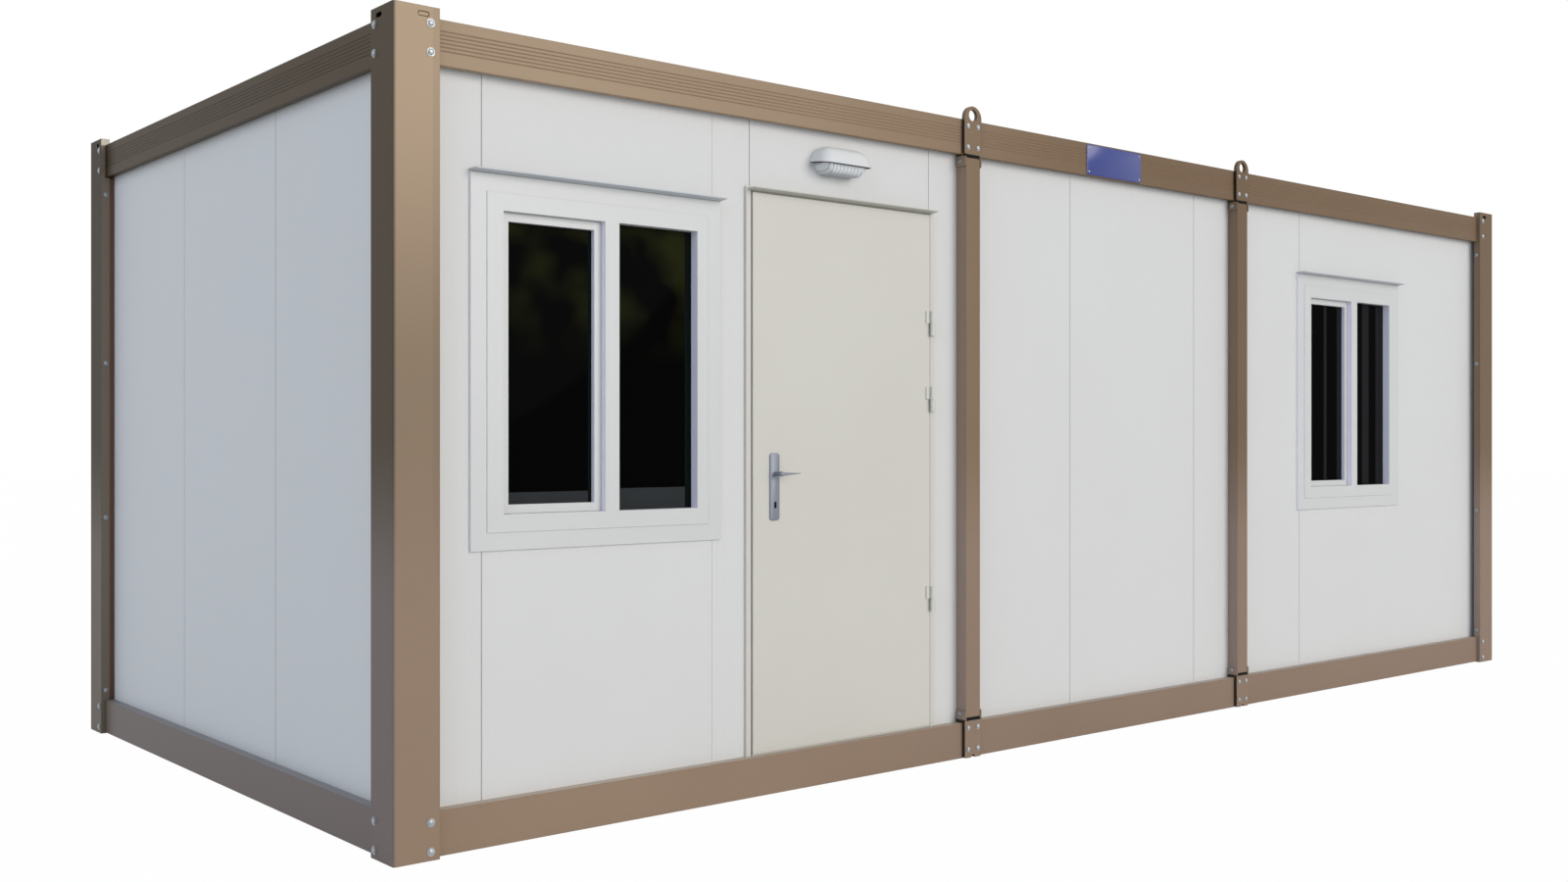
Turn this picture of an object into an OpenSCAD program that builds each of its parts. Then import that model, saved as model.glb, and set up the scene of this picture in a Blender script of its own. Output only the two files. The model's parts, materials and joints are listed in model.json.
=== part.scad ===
// Portable site cabin: a bolted steel frame filled with sandwich panels.
// Millimetres, +Z up, front wall towards -Y, origin on the ground under the middle of the cabin.

/* [Cabin] */
// Length over the corner posts
cabin_l = 7000; // [6600:10:9000]
// Width over the corner posts
cabin_w = 3000; // [2300:10:3600]
// Height of the corner posts
post_h = 2625; // [2560:5:3000]

/* [Corner posts] */
// Width of each leg of the corner angle
post_leg = 155; // [130:1:180]
// Plate thickness of the corner angle
post_t = 4; // [3:0.5:6]
// Outer radius of the corner's bend
bend_r = 9; // [6.5:0.5:14]
// Depth of the return lip at the end of a leg
post_lip = 36; // [20:1:45]
// Thickness of the foot plate
foot_t = 4; // [3:0.5:8]
// Margin between a packer behind the post and the edges of its rail
packer_in = 12; // [8:1:20]
// Distance from the corner to the middle of a lashing slot
slot_from_corner = 100; // [70:1:105]
// Drop from the post's top to the middle of a lashing slot
slot_drop = 25; // [22:0.5:30]
// Length of a lashing slot
slot_l = 40; // [30:1:50]
// Width of a lashing slot
slot_w = 16; // [12:0.5:18]

/* [Rails] */
// Height of the base and top rails
rail_h = 142; // [120:1:170]
// Sheet thickness of the rails
rail_t = 4; // [3:0.5:6]
// Gap between the ground and the base rails
rail_lift = 4; // [4:0.5:14]
// Drop from the post's top to the top rail
rail_drop = 28; // [20:1:50]
// Setback of the rails from the cabin's outer face
rail_face = 18; // [12:0.5:22]
// Depth of the top rail's lower lip
rail_lip = 24; // [16:1:30]
// Height of the recess behind that lip, which takes the panels' tops
rail_step = 22; // [10:1:30]
// Clearance of a post's lips round the rails
rail_play = 0.5; // [0.3:0.1:1]
// Reach of the flange that carries the wall, from the cabin's outer face
rail_ledge = 150; // [140:1:180]
// Reach of the outer flange, from the cabin's outer face
rail_flange = 62; // [45:1:70]
// Height of the gutter lip on the top rail
gutter_lip = 16; // [8:1:22]
// Number of pressed grooves in a top rail
groove_count = 6; // [3:1:7]
// Spacing of the grooves
groove_pitch = 12.2; // [10:0.1:14]
// Drop from the rail's top to the first groove
groove_drop = 36; // [24:1:45]
// Width of a groove
groove_w = 6; // [4:0.5:8]
// Depth of a groove
groove_d = 2.5; // [1.5:0.1:3.5]

/* [Walls] */
// Depth from the cabin's outer face to the panels
wall_recess = 57; // [50:1:70]
// Panel thickness
wall_t = 60; // [40:1:70]
// Open joint between panels
joint_gap = 3; // [2:0.5:5]
// Thickness of a panel's tongue
tongue_t = 14; // [10:0.5:18]
// Reach of a panel's tongue
tongue_l = 14; // [10:0.5:20]
// Clearance of a tongue in its groove
tongue_play = 0.4; // [0.2:0.1:1]
// Width of a plain front panel
panel_w = 905; // [850:1:920]
// Width of the left window's panel, and of the end and rear panels
wide_panel_w = 924; // [880:1:950]

/* [Intermediate posts] */
// Distance from the cabin's end to the middle of the next intermediate post
mid_in = 2550; // [2520:1:2580]
// Setback of an intermediate post from the cabin's outer face
mid_setback = 4; // [2:0.5:10]
// Width of an intermediate post
mid_w = 83; // [70:1:100]
// Sheet thickness of an intermediate post
mid_t = 4; // [3:0.5:6]
// Gap between an intermediate post and the plates at its ends
mid_gap = 14; // [8:0.5:18]
// Plate thickness of a clip
clip_t = 6; // [4:0.5:7]
// Height of a clip
clip_h = 48; // [40:1:60]
// Gap between a clip and the panels
clip_gap = 4; // [2:0.5:10]
// Reach of a clip's cheeks in front of the post
clip_proud = 3; // [0:0.5:4]
// Clearance between a clip and its post
clip_play = 0.3; // [0.2:0.1:0.8]

/* [Lifting plates] */
// Width of a lifting plate
lift_w = 100; // [90:1:120]
// Plate thickness
lift_t = 15; // [8:0.5:17]
// Height of a lifting plate's top above the top rail
lift_rise = 55; // [45:1:70]
// Drop from a lifting plate's top to its eye
eye_drop = 37; // [32:0.5:42]
// Diameter of the eye
eye_d = 48; // [30:0.5:50]
// Radius of the plates' free corners
lift_r = 9; // [4:0.5:14]
// Width of a base tie plate
tie_w = 96; // [90:1:115]
// Rise of a base tie plate above the base rail
tie_rise = 8; // [3:0.5:9]
// Radius of the drain notch in a base tie plate
notch_r = 11; // [8:0.5:15]

/* [Windows] */
// Distance from the cabin's left end to the middle of the left window
window_left_in = 787; // [770:1:810]
// Distance from the cabin's right end to the middle of the right window
window_right_in = 1491; // [1475:1:1510]
// Offset of the left window's panel to the right of the window's middle
left_panel_off = 5; // [-5:1:15]
// Distance from the right window's middle to the panel joint on its left
right_joint_off = 476; // [465:1:490]
// Width over the window's outer trim
window_w = 1000; // [900:1:1010]
// Height over the window's outer trim
window_h = 1207; // [1000:1:1300]
// Drop from the top rail to the window's trim
window_drop = 309; // [260:1:400]
// Thickness of the outer trim
trim_t = 9; // [6:0.5:14]
// Lap of the trim on the panel
trim_lap = 16; // [10:1:25]
// Width of the trim
trim_w = 58; // [50:1:65]
// Width of the frame's uprights inside the trim
window_frame_w = 54; // [45:1:60]
// Height of the frame's head and foot inside the trim
window_rail_w = 58; // [50:1:65]
// Offset of the panes to the right of the window's middle
pane_off = 6; // [0:1:10]
// Standing height of the frame over its trim
frame_proud = 3; // [1:0.5:5]
// Width of the mullion
mullion_w = 57; // [45:1:70]
// Offset of the mullion to the right of the window's middle
mullion_off = 35; // [20:1:50]
// Width of a sash member
sash_w = 29; // [24:1:36]
// Depth of the sash
sash_t = 34; // [28:1:42]
// Setback of the sash behind the trim
sash_setback = 20; // [12:1:28]
// Clearance round the sash
sash_play = 0.6; // [0.4:0.1:0.9]
// Thickness of the glazing unit
glass_t = 16; // [10:1:20]
// Lap of the glass behind its rebate
glass_lap = 9; // [6:0.5:14]
// Clearance round the glass in its rebate
glass_play = 0.5; // [0.3:0.1:0.9]
// Reach of the fixed glass's rebate behind the trim
rebate_setback = 35; // [26:1:42]

/* [Door] */
// Distance from the cabin's left end to the middle of the door
door_in = 1885; // [1860:1:1910]
// Width of the door leaf
door_w = 910; // [800:1:930]
// Height of the wall over the doorway, below the top rail
over_door_h = 248; // [200:1:400]
// Thickness of the door leaf
door_t = 40; // [30:1:44]
// Gap round the door leaf
door_gap = 6; // [5.5:0.1:9]
// Depth from the cabin's outer face to the leaf
door_recess = 42; // [38:0.5:46]
// Width of the door frame's face
jamb_face = 22; // [18:0.5:30]
// Height of the door frame's head
head_face = 14; // [13:0.5:24]
// Proud height of the door frame on the panels
jamb_proud = 11; // [7:0.5:11]
// Lap of the door frame on the panels
jamb_lap = 8; // [5:0.5:12]
// Lap of the stop behind the leaf
stop_lap = 10; // [8:0.5:16]
// Height of the threshold above the ledge
sill_h = 18; // [12:0.5:24]

/* [Hinges] */
// Rise from the leaf's lower edge to the low hinge's middle
hinge_low_rise = 508; // [400:1:650]
// Drop from the leaf's top to the middle hinge's middle
hinge_mid_drop = 738; // [650:1:1000]
// Drop from the leaf's top to the high hinge's middle
hinge_high_drop = 435; // [250:1:500]
// Height of a hinge
hinge_h = 98; // [80:1:120]
// Radius of a knuckle
knuckle_r = 8; // [7:0.5:10]
// Gap between the two knuckles of a hinge
knuckle_gap = 2; // [1:0.5:4]
// Distance from the leaf's face out to the hinge axis
hinge_out = 11; // [10.5:0.5:14]
// Radius of a hinge pin
pin_r = 4; // [3:0.25:5]
// Radial clearance of a hinge pin
pin_play = 0.1; // [0.05:0.01:0.2]
// Width of a hinge tab on the leaf
tab_w = 26; // [18:1:36]
// Thickness of a hinge tab on the leaf
tab_t = 5; // [4:0.5:6]

/* [Handle] */
// Distance from the leaf's free edge to the lever's pivot
handle_inset = 100; // [70:1:130]
// Height of the lever's pivot above the leaf's lower edge
handle_rise = 1018; // [850:1:1100]
// Width of a handle plate
plate_w = 45; // [38:1:55]
// Height of a handle plate
plate_h = 247; // [200:1:280]
// Thickness of a handle plate
plate_t = 7; // [4:0.5:9]
// Radius of a handle plate's corners
plate_r = 13; // [8:0.5:18]
// Height of the pivot above the plate's lower end
plate_pivot = 171; // [140:1:190]
// Drop from the pivot to the keyhole
key_drop = 114; // [90:1:125]
// Width of the keyhole
key_w = 10; // [7:0.5:14]
// Height of the keyhole
key_h = 26; // [18:0.5:32]
// Length of a lever from its pivot
lever_l = 95; // [85:1:120]
// Radius of the ball that a lever grows from
lever_r = 9.5; // [8.5:0.5:12]
// Radius of a lever at its tip
lever_tip_r = 3; // [2:0.5:7]
// Standing height of a lever over its plate
lever_out = 42; // [36:1:50]
// Radius of a lever's neck
neck_r = 8; // [6.5:0.5:8.5]
// Radius of the spindle
spindle_r = 5; // [4:0.25:6]
// Clearance of the lever and its spindle
lever_play = 0.5; // [0.2:0.1:1]

/* [Drip caps] */
// Height of a drip cap
cap_h = 9; // [7:0.5:16]
// Thickness of a drip cap's front edge
cap_edge = 4; // [2:0.5:6]
// Reach of a drip cap from the panels
cap_reach = 49; // [25:1:52]

/* [Lamp] */
// Offset of the lamp to the left of the door's middle
lamp_off = 40; // [0:1:80]
// Drop from the top rail to the lamp's middle
lamp_drop = 115; // [90:1:130]
// Width of the lamp's hood
lamp_w = 260; // [220:1:300]
// Height of the hood above the lamp's middle
lamp_rise = 59; // [50:1:70]
// Height of the lens below the lamp's middle
lens_drop = 42; // [35:1:60]
// Reach of the hood from the panels
lamp_reach = 86; // [70:1:95]
// Radius of the hood's corners and of its brow
hood_r = 38; // [25:1:48]
// Wall thickness of the hood
lamp_wall = 4; // [3:0.5:6]
// Thickness of the lamp's back plate
lamp_back_t = 12; // [8:0.5:18]
// Gap between the hood and the lens
lens_gap = 8; // [4:0.5:12]
// Lap of the lens above the hood's rim
lens_lap = 10; // [5:0.5:18]
// Width of the lens at its foot
lens_foot_w = 172; // [140:1:200]
// Radius of the lens's lower corners
lens_r = 24; // [15:1:35]

/* [Floor and roof] */
// Number of floor joists and roof purlins
joist_count = 12; // [8:1:14]
// Width of a joist or purlin
joist_w = 50; // [40:1:70]
// Sheet thickness of a joist or purlin
joist_t = 3; // [2:0.5:5]
// Height of a roof purlin
purlin_h = 68; // [50:1:85]
// Clearance at the ends of the joists and round the boards
board_play = 1; // [0.5:0.5:3]
// Thickness of the floor deck
deck_t = 18; // [12:1:24]
// Thickness of the ceiling board
ceiling_t = 12; // [8:1:18]
// Thickness of the roof sheet
sheet_t = 2; // [1:0.5:3]
// Height of a rib in the roof sheet
rib_h = 28; // [15:1:30]
// Spacing of the roof sheet's ribs
rib_pitch = 200; // [150:5:300]
// Width of a rib at its foot
rib_foot = 70; // [50:1:80]
// Width of a rib at its top
rib_top = 30; // [20:1:40]
// Gap between the roof sheet and the gutter lip
gutter_gap = 12; // [6:1:30]

/* [Hidden] */
$fn = 48;
brown = [0.58, 0.51, 0.44];
panel_white = [0.82, 0.82, 0.82];
plastic_white = [0.92, 0.92, 0.92];
door_cream = [0.80, 0.79, 0.76];
steel = [0.62, 0.64, 0.66];
glass_dark = [0.08, 0.09, 0.10];
timber = [0.62, 0.50, 0.36];
eps = 1;

base_z = rail_lift;
ledge_z = base_z + rail_h;
roof_z = post_h - rail_drop;
soffit_z = roof_z - rail_h;
wall_top = soffit_z + rail_step;
wall_back = wall_recess + wall_t;
wall_mid = wall_recess + wall_t / 2;
joist_z = base_z + rail_t;
joist_h = rail_h - 2 * rail_t;
purlin_z = wall_top + rail_t;

door_x = door_in - cabin_l / 2;
door_z = ledge_z + door_gap;
hole_top = soffit_z - over_door_h;
door_top = hole_top + jamb_lap - head_face - door_gap;
door_h = door_top - door_z;
door_left = door_x - door_w / 2;
door_right = door_x + door_w / 2;
jamb_in = door_w / 2 + door_gap;
jamb_out = jamb_in + jamb_face;
hole_half = jamb_out - jamb_lap;
jamb_d = wall_recess - jamb_proud;
stop_d = door_recess + door_t + door_gap;
door_back = door_recess + door_t;

hinge_x = door_right + door_gap / 2;
hinge_d = door_recess - hinge_out;
hinge_zs = [door_z + hinge_low_rise, door_top - hinge_mid_drop, door_top - hinge_high_drop];
knuckle_h = (hinge_h - knuckle_gap) / 2;

handle_x = door_left + handle_inset;
handle_z = door_z + handle_rise;
plate_d = door_recess - plate_t;
plate_back_d = door_back + plate_t;

trim_d = wall_recess - trim_t;
window_left_x = window_left_in - cabin_l / 2;
window_right_x = cabin_l / 2 - window_right_in;
window_xs = [window_left_x, window_right_x];
window_top = soffit_z - window_drop;
window_z = window_top - window_h;
window_mid_z = window_top - window_h / 2;
pane_w = window_w - 2 * trim_w - 2 * window_frame_w;
pane_h = window_h - 2 * trim_w - 2 * window_rail_w;
sash_right = mullion_off - mullion_w / 2;
sash_open_w = pane_w / 2 - pane_off + sash_right;
fixed_left = mullion_off + mullion_w / 2;
fixed_w = pane_w / 2 + pane_off - fixed_left;
frame_d = trim_d - frame_proud;
sash_d = trim_d + sash_setback;
rebate_d = trim_d + rebate_setback;
sash_mid = sash_right - sash_open_w / 2;
fixed_mid = fixed_left + fixed_w / 2;
sash_glass_w = sash_open_w - 2 * sash_play - 2 * sash_w;
sash_glass_h = pane_h - 2 * sash_play - 2 * sash_w;
sash_rebate_d = sash_d + sash_t - glass_t;

// Panel joints along the front wall, from its left end to its right end. The plain panels
// between the door and the right window start with a cut one at the door
wall_end = cabin_l / 2 - wall_recess;
win_l0 = window_left_x + left_panel_off - wide_panel_w / 2;
win_l1 = win_l0 + wide_panel_w;
door_l = door_x - jamb_in;
door_r = door_x + jamb_in;
win_r0 = window_right_x - right_joint_off;
plain_count = max(1, round((win_r0 - door_r) / panel_w));
front_joints = concat([-wall_end, win_l0, win_l1, door_l, door_r],
    [for (i = [plain_count - 1 : -1 : 1]) win_r0 - i * panel_w],
    [win_r0, wall_end]);
first_plain = 4;
first_right = first_plain + plain_count;

// Joints of a plain wall: whole panels about the middle, cut panels at both ends that are
// no narrower than the named share of a whole one
least_cut = 0.1;
function half_count(end) = ceil(end / wide_panel_w - 0.5 - least_cut);
function plain_joints(end) = let (n = half_count(end))
    concat([-end], [for (i = [-n : n - 1]) (i + 0.5) * wide_panel_w], [end]);
rear_joints = plain_joints(wall_end);
end_joints = plain_joints(cabin_w / 2 - wall_back);

function side_turn(side) = side == "front" ? 0 : side == "rear" ? 180 : side == "left" ? -90 : 90;
function is_long(side) = side == "front" || side == "rear";
function side_len(side) = is_long(side) ? cabin_l : cabin_w;
function side_off(side) = is_long(side) ? cabin_w / 2 : cabin_l / 2;

// A shape drawn on one side of the cabin: x runs along the wall as seen from outside,
// y is the depth from the cabin's outer face, z is height
module on_side(side) {
    rotate([0, 0, side_turn(side)])
        translate([0, -side_off(side), 0])
            children();
}

// A profile of depth and height, drawn out along a wall
module along_wall(length) {
    rotate([90, 0, 90])
        linear_extrude(length, center = true)
            children();
}

// An outline seen from outside, from one depth to a deeper one
module facing(from, to) {
    translate([0, to, 0])
        rotate([90, 0, 0])
            linear_extrude(to - from)
                children();
}

module rect(width, height) {
    square([width, height], center = true);
}

// A slot with round ends, along x
module obround(length, width) {
    rect(length - width, width);
    for (s = [-1, 1])
        translate([s * (length - width) / 2, 0])
            circle(d = width);
}

module rounded_rect(width, height, r) {
    rect(width - 2 * r, height);
    rect(width, height - 2 * r);
    for (sx = [-1, 1], sy = [-1, 1])
        translate([sx * (width / 2 - r), sy * (height / 2 - r)])
            circle(r);
}

// Corner posts: an angle with return lips, a foot plate, and packers that the rails bolt to
module corner_leg_slot() {
    translate([slot_from_corner, 0, post_h - slot_drop])
        facing(-eps, post_t + eps)
            obround(slot_l, slot_w);
}

// A square in the corner, from one distance to a farther one, with its near edge rounded
module bent_square(from, to, r) {
    translate([from + r, from])
        square([to - from - r, to - from]);
    translate([from, from + r])
        square([to - from, to - from - r]);
    translate([from + r, from + r])
        circle(r);
}

module corner_profile() {
    difference() {
        bent_square(0, post_leg, bend_r);
        bent_square(post_t, post_leg + eps, bend_r - post_t);
    }
}

// One leg's return lip, cut back where the rails pass it
module corner_lip() {
    difference() {
        translate([post_leg - post_t, 0, 0])
            cube([post_t, post_lip, post_h]);
        for (z = [base_z, soffit_z])
            translate([post_leg - post_t - eps, rail_face - rail_play, z - rail_play])
                cube([post_t + 2 * eps, post_lip, rail_h + 2 * rail_play]);
    }
}

// The packers between one leg and the two rails
module corner_packers() {
    for (z = [base_z, soffit_z])
        translate([rail_face + packer_in, post_t - eps, z + packer_in])
            cube([post_leg - rail_face - packer_in, rail_face - post_t + eps, rail_h - 2 * packer_in]);
}

module corner_leg() {
    corner_lip();
    corner_packers();
}

module corner_post() {
    color(brown)
        difference() {
            union() {
                linear_extrude(post_h)
                    corner_profile();
                corner_leg();
                mirror([1, -1, 0])
                    corner_leg();
                linear_extrude(foot_t)
                    bent_square(0, post_leg, bend_r);
            }
            corner_leg_slot();
            mirror([1, -1, 0])
                corner_leg_slot();
        }
}

module corner_at(sx, sy) {
    translate([sx * cabin_l / 2, sy * cabin_w / 2, 0])
        mirror([sx > 0 ? 1 : 0, 0, 0])
            mirror([0, sy > 0 ? 1 : 0, 0])
                corner_post();
}

// Rails: cold-formed channels, mitred at the corners
function groove_line(depth, order) = [for (k = [0 : groove_count - 1])
    let (i = order > 0 ? k : groove_count - 1 - k)
    let (z = roof_z - groove_drop - i * groove_pitch)
    each [[depth, z + order * groove_w / 2], [depth + groove_d, z], [depth, z - order * groove_w / 2]]];

module top_rail_profile() {
    inner = rail_face + rail_t;
    lip_end = rail_face + rail_lip;
    polygon(concat(
        [[rail_face, roof_z]],
        groove_line(rail_face, 1),
        [[rail_face, soffit_z], [lip_end, soffit_z], [lip_end, wall_top], [rail_ledge, wall_top],
         [rail_ledge, wall_top + rail_t], [lip_end - rail_t, wall_top + rail_t],
         [lip_end - rail_t, soffit_z + rail_t], [inner, soffit_z + rail_t]],
        groove_line(inner, -1),
        [[inner, roof_z - rail_t], [rail_flange - rail_t, roof_z - rail_t],
         [rail_flange - rail_t, roof_z - gutter_lip], [rail_flange, roof_z - gutter_lip],
         [rail_flange, roof_z]]));
}

module base_rail_profile() {
    inner = rail_face + rail_t;
    polygon([[rail_face, base_z], [rail_flange, base_z], [rail_flange, base_z + rail_t],
        [inner, base_z + rail_t], [inner, ledge_z - rail_t],
        [rail_ledge, ledge_z - rail_t], [rail_ledge, ledge_z], [rail_face, ledge_z]]);
}

// The room between the two mitres of one side
module mitre_room(side) {
    half = side_len(side) / 2;
    deep = rail_ledge + eps;
    linear_extrude(post_h)
        polygon([[-half, 0], [half, 0], [half - deep, deep], [deep - half, deep]]);
}

module rail(side) {
    color(brown)
        on_side(side)
            intersection() {
                along_wall(side_len(side))
                    children();
                mitre_room(side);
            }
}

module top_rail(side) {
    rail(side)
        top_rail_profile();
}

module base_rail(side) {
    rail(side)
        base_rail_profile();
}

// Intermediate posts: channels against the panels, held by a clip on each rail
function mid_x(place) = (place == "left" ? -1 : 1) * (cabin_l / 2 - mid_in);

module mid_post(side, place) {
    foot = ledge_z + tie_rise + mid_gap;
    color(brown)
        on_side(side)
            translate([mid_x(place), 0, foot])
                linear_extrude(soffit_z - mid_gap - foot)
                    difference() {
                        translate([-mid_w / 2, mid_setback])
                            square([mid_w, wall_recess - mid_setback]);
                        translate([-mid_w / 2 + mid_t, mid_setback + mid_t])
                            square([mid_w - 2 * mid_t, wall_recess]);
                    }
}

// A clip stands on the rail, with two cheeks outside the post and a tongue inside it,
// and is notched over the plate on the rail's face
module clip() {
    inner = mid_w + 2 * clip_play;
    outer = inner + 2 * clip_t;
    tongue = mid_w - 2 * mid_t - 2 * clip_play;
    front = mid_setback - clip_proud;
    back = wall_recess - clip_gap;
    difference() {
        union() {
            facing(front, back)
                difference() {
                    translate([-outer / 2, 0])
                        square([outer, clip_h]);
                    translate([-inner / 2, clip_t])
                        square([inner, clip_h]);
                }
            facing(back - clip_t, back)
                translate([-tongue / 2, 0])
                    square([tongue, clip_h]);
        }
        translate([-outer / 2 - eps, front - eps, -eps])
            cube([outer + 2 * eps, rail_face + rail_play - front + eps, tie_rise + rail_play + eps]);
    }
}

module each_mid() {
    for (side = ["front", "rear"], place = ["left", "right"])
        on_side(side)
            translate([mid_x(place), 0, 0])
                children();
}

module post_clips() {
    color(brown)
        each_mid() {
            translate([0, 0, ledge_z])
                clip();
            translate([0, 0, soffit_z])
                mirror([0, 0, 1])
                    clip();
        }
}

// A plate with its lower corners rounded, standing on the middle of its lower edge
module rounded_foot(width, height) {
    translate([-width / 2, lift_r])
        square([width, height - lift_r]);
    translate([lift_r - width / 2, 0])
        square([width - 2 * lift_r, height]);
    for (s = [-1, 1])
        translate([s * (width / 2 - lift_r), lift_r])
            circle(lift_r);
}

module lifting_plates() {
    height = rail_h + lift_rise;
    color(brown)
        each_mid()
            translate([0, 0, soffit_z])
                facing(rail_face - lift_t, rail_face)
                    difference() {
                        union() {
                            rounded_foot(lift_w, height - lift_w / 2);
                            translate([0, height - lift_w / 2])
                                circle(d = lift_w);
                        }
                        translate([0, height - eye_drop])
                            circle(d = eye_d);
                    }
}

module base_tie_plates() {
    color(brown)
        each_mid()
            translate([0, 0, base_z])
                facing(rail_face - lift_t, rail_face)
                    difference() {
                        rounded_foot(tie_w, rail_h + tie_rise);
                        circle(notch_r);
                    }
}

// Walls: tongued panels between the listed joints, cut round the door and the windows
module panel_plan(joints, i) {
    last = len(joints) - 2;
    x0 = joints[i] + (i > 0 ? joint_gap / 2 : 0);
    x1 = joints[i + 1] - (i < last ? joint_gap / 2 : 0);
    tongue_end = x1 + joint_gap + tongue_l;
    difference() {
        union() {
            translate([x0, wall_recess])
                square([x1 - x0, wall_t]);
            if (i < last)
                translate([x1 - eps, wall_mid - tongue_t / 2])
                    square([tongue_end - x1 + eps, tongue_t]);
        }
        if (i > 0)
            translate([x0 - eps, wall_mid - tongue_t / 2 - tongue_play])
                square([tongue_l + tongue_play + eps, tongue_t + 2 * tongue_play]);
    }
}

module panels(joints, first, last, from_z = ledge_z) {
    for (i = [first : last])
        translate([0, 0, from_z])
            linear_extrude(wall_top - from_z)
                panel_plan(joints, i);
}

module front_openings() {
    translate([door_x - hole_half, 0, ledge_z - eps])
        cube([2 * hole_half, wall_back + eps, hole_top - ledge_z + eps]);
    for (x = window_xs)
        translate([x - window_w / 2 + trim_lap, 0, window_z + trim_lap])
            cube([window_w - 2 * trim_lap, wall_back + eps, window_h - 2 * trim_lap]);
}

module front_wall(first, last, from_z = ledge_z) {
    color(panel_white)
        on_side("front")
            difference() {
                panels(front_joints, first, last, from_z);
                front_openings();
            }
}

module front_wall_left() {
    front_wall(0, 2);
}

module front_wall_over_door() {
    front_wall(3, 3, hole_top);
}

module front_wall_middle() {
    front_wall(first_plain, first_right - 1);
}

module front_wall_right() {
    front_wall(first_right, first_right);
}

module plain_wall(side, joints) {
    color(panel_white)
        on_side(side)
            panels(joints, 0, len(joints) - 2);
}

module left_wall() {
    plain_wall("left", end_joints);
}

module right_wall() {
    plain_wall("right", end_joints);
}

module rear_wall() {
    plain_wall("rear", rear_joints);
}

// Floor and roof
module cross_bars(z, height, end_in) {
    reach = cabin_w / 2 - rail_face - rail_t - end_in;
    span = cabin_l / 2 - rail_ledge - joist_w;
    for (i = [0 : joist_count - 1])
        translate([-span + 2 * span * i / (joist_count - 1), 0, z])
            rotate([90, 0, 0])
                linear_extrude(2 * reach, center = true)
                    difference() {
                        translate([-joist_w / 2, 0])
                            square([joist_w, height]);
                        translate([-joist_w / 2 + joist_t, joist_t])
                            square([joist_w, height - 2 * joist_t]);
                    }
}

module board(z, thickness) {
    translate([0, 0, z + thickness / 2])
        cube([cabin_l - 2 * wall_back - 2 * board_play, cabin_w - 2 * wall_back - 2 * board_play, thickness],
            center = true);
}

module floor_joists() {
    color(brown)
        cross_bars(joist_z, joist_h, board_play);
}

module floor_deck() {
    color(timber)
        board(ledge_z, deck_t);
}

module ceiling() {
    color(plastic_white)
        board(wall_top - ceiling_t, ceiling_t);
}

module roof_purlins() {
    color(steel)
        cross_bars(purlin_z, purlin_h, groove_d + board_play);
}

function rib_line(n, lift) = [for (i = [0 : n - 1])
    let (x = (i - (n - 1) / 2) * rib_pitch)
    each [[x - rib_foot / 2, lift], [x - rib_top / 2, lift + rib_h - sheet_t],
          [x + rib_top / 2, lift + rib_h - sheet_t], [x + rib_foot / 2, lift]]];

module roof_sheet() {
    half_l = cabin_l / 2 - rail_flange - gutter_gap;
    half_w = cabin_w / 2 - rail_flange - gutter_gap;
    n = floor((2 * half_w - rib_foot) / rib_pitch) + 1;
    under = rib_line(n, 0);
    over = rib_line(n, sheet_t);
    color(steel)
        translate([0, 0, purlin_z + purlin_h])
            along_wall(2 * half_l)
                polygon(concat([[-half_w, 0]], under, [[half_w, 0], [half_w, sheet_t]],
                    [for (i = [len(over) - 1 : -1 : 0]) over[i]], [[-half_w, sheet_t]]));
}

// Door: a rebated steel frame, a flush leaf, lift-off hinges and a lever handle
module door_frame() {
    height = door_top + door_gap - ledge_z;
    color(door_cream)
        on_side("front")
            translate([door_x, 0, ledge_z]) {
                facing(jamb_d, wall_recess)
                    difference() {
                        translate([-jamb_out, 0])
                            square([2 * jamb_out, height + head_face]);
                        translate([-jamb_in, -eps])
                            square([2 * jamb_in, height + eps]);
                    }
                facing(wall_recess, wall_back)
                    difference() {
                        translate([-hole_half, 0])
                            square([2 * hole_half, hole_top - ledge_z]);
                        translate([-jamb_in, -eps])
                            square([2 * jamb_in, height + eps]);
                    }
                facing(stop_d, wall_back)
                    difference() {
                        translate([-jamb_in, 0])
                            square([2 * jamb_in, height]);
                        translate([-door_w / 2 + stop_lap, sill_h])
                            square([door_w - 2 * stop_lap, door_h + door_gap - sill_h - stop_lap]);
                    }
            }
}

module door_leaf() {
    color(door_cream)
        on_side("front")
            difference() {
                translate([door_left, door_recess, door_z])
                    cube([door_w, door_t, door_h]);
                translate([handle_x, door_back + eps, handle_z])
                    rotate([90, 0, 0])
                        cylinder(r = spindle_r + lever_play, h = door_t + 2 * eps);
            }
}

module knuckle(side_sign, tab_depth) {
    difference() {
        union() {
            cylinder(r = knuckle_r, h = knuckle_h);
            translate([side_sign > 0 ? 0 : -tab_w, tab_depth[0], 0])
                cube([tab_w, tab_depth[1] - tab_depth[0], knuckle_h]);
        }
        translate([0, 0, -eps])
            cylinder(r = pin_r + pin_play, h = knuckle_h + 2 * eps);
    }
}

module at_hinges() {
    on_side("front")
        for (z = hinge_zs)
            translate([hinge_x, hinge_d, z - hinge_h / 2])
                children();
}

module hinge_pins() {
    frame_tab = jamb_in + jamb_face - door_w / 2 - door_gap / 2;
    color(plastic_white)
        at_hinges() {
            cylinder(r = pin_r, h = hinge_h);
            cylinder(r = knuckle_r, h = knuckle_h);
            translate([0, hinge_out - tab_t, 0])
                cube([frame_tab, jamb_d - hinge_d - hinge_out + tab_t, knuckle_h]);
        }
}

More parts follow.
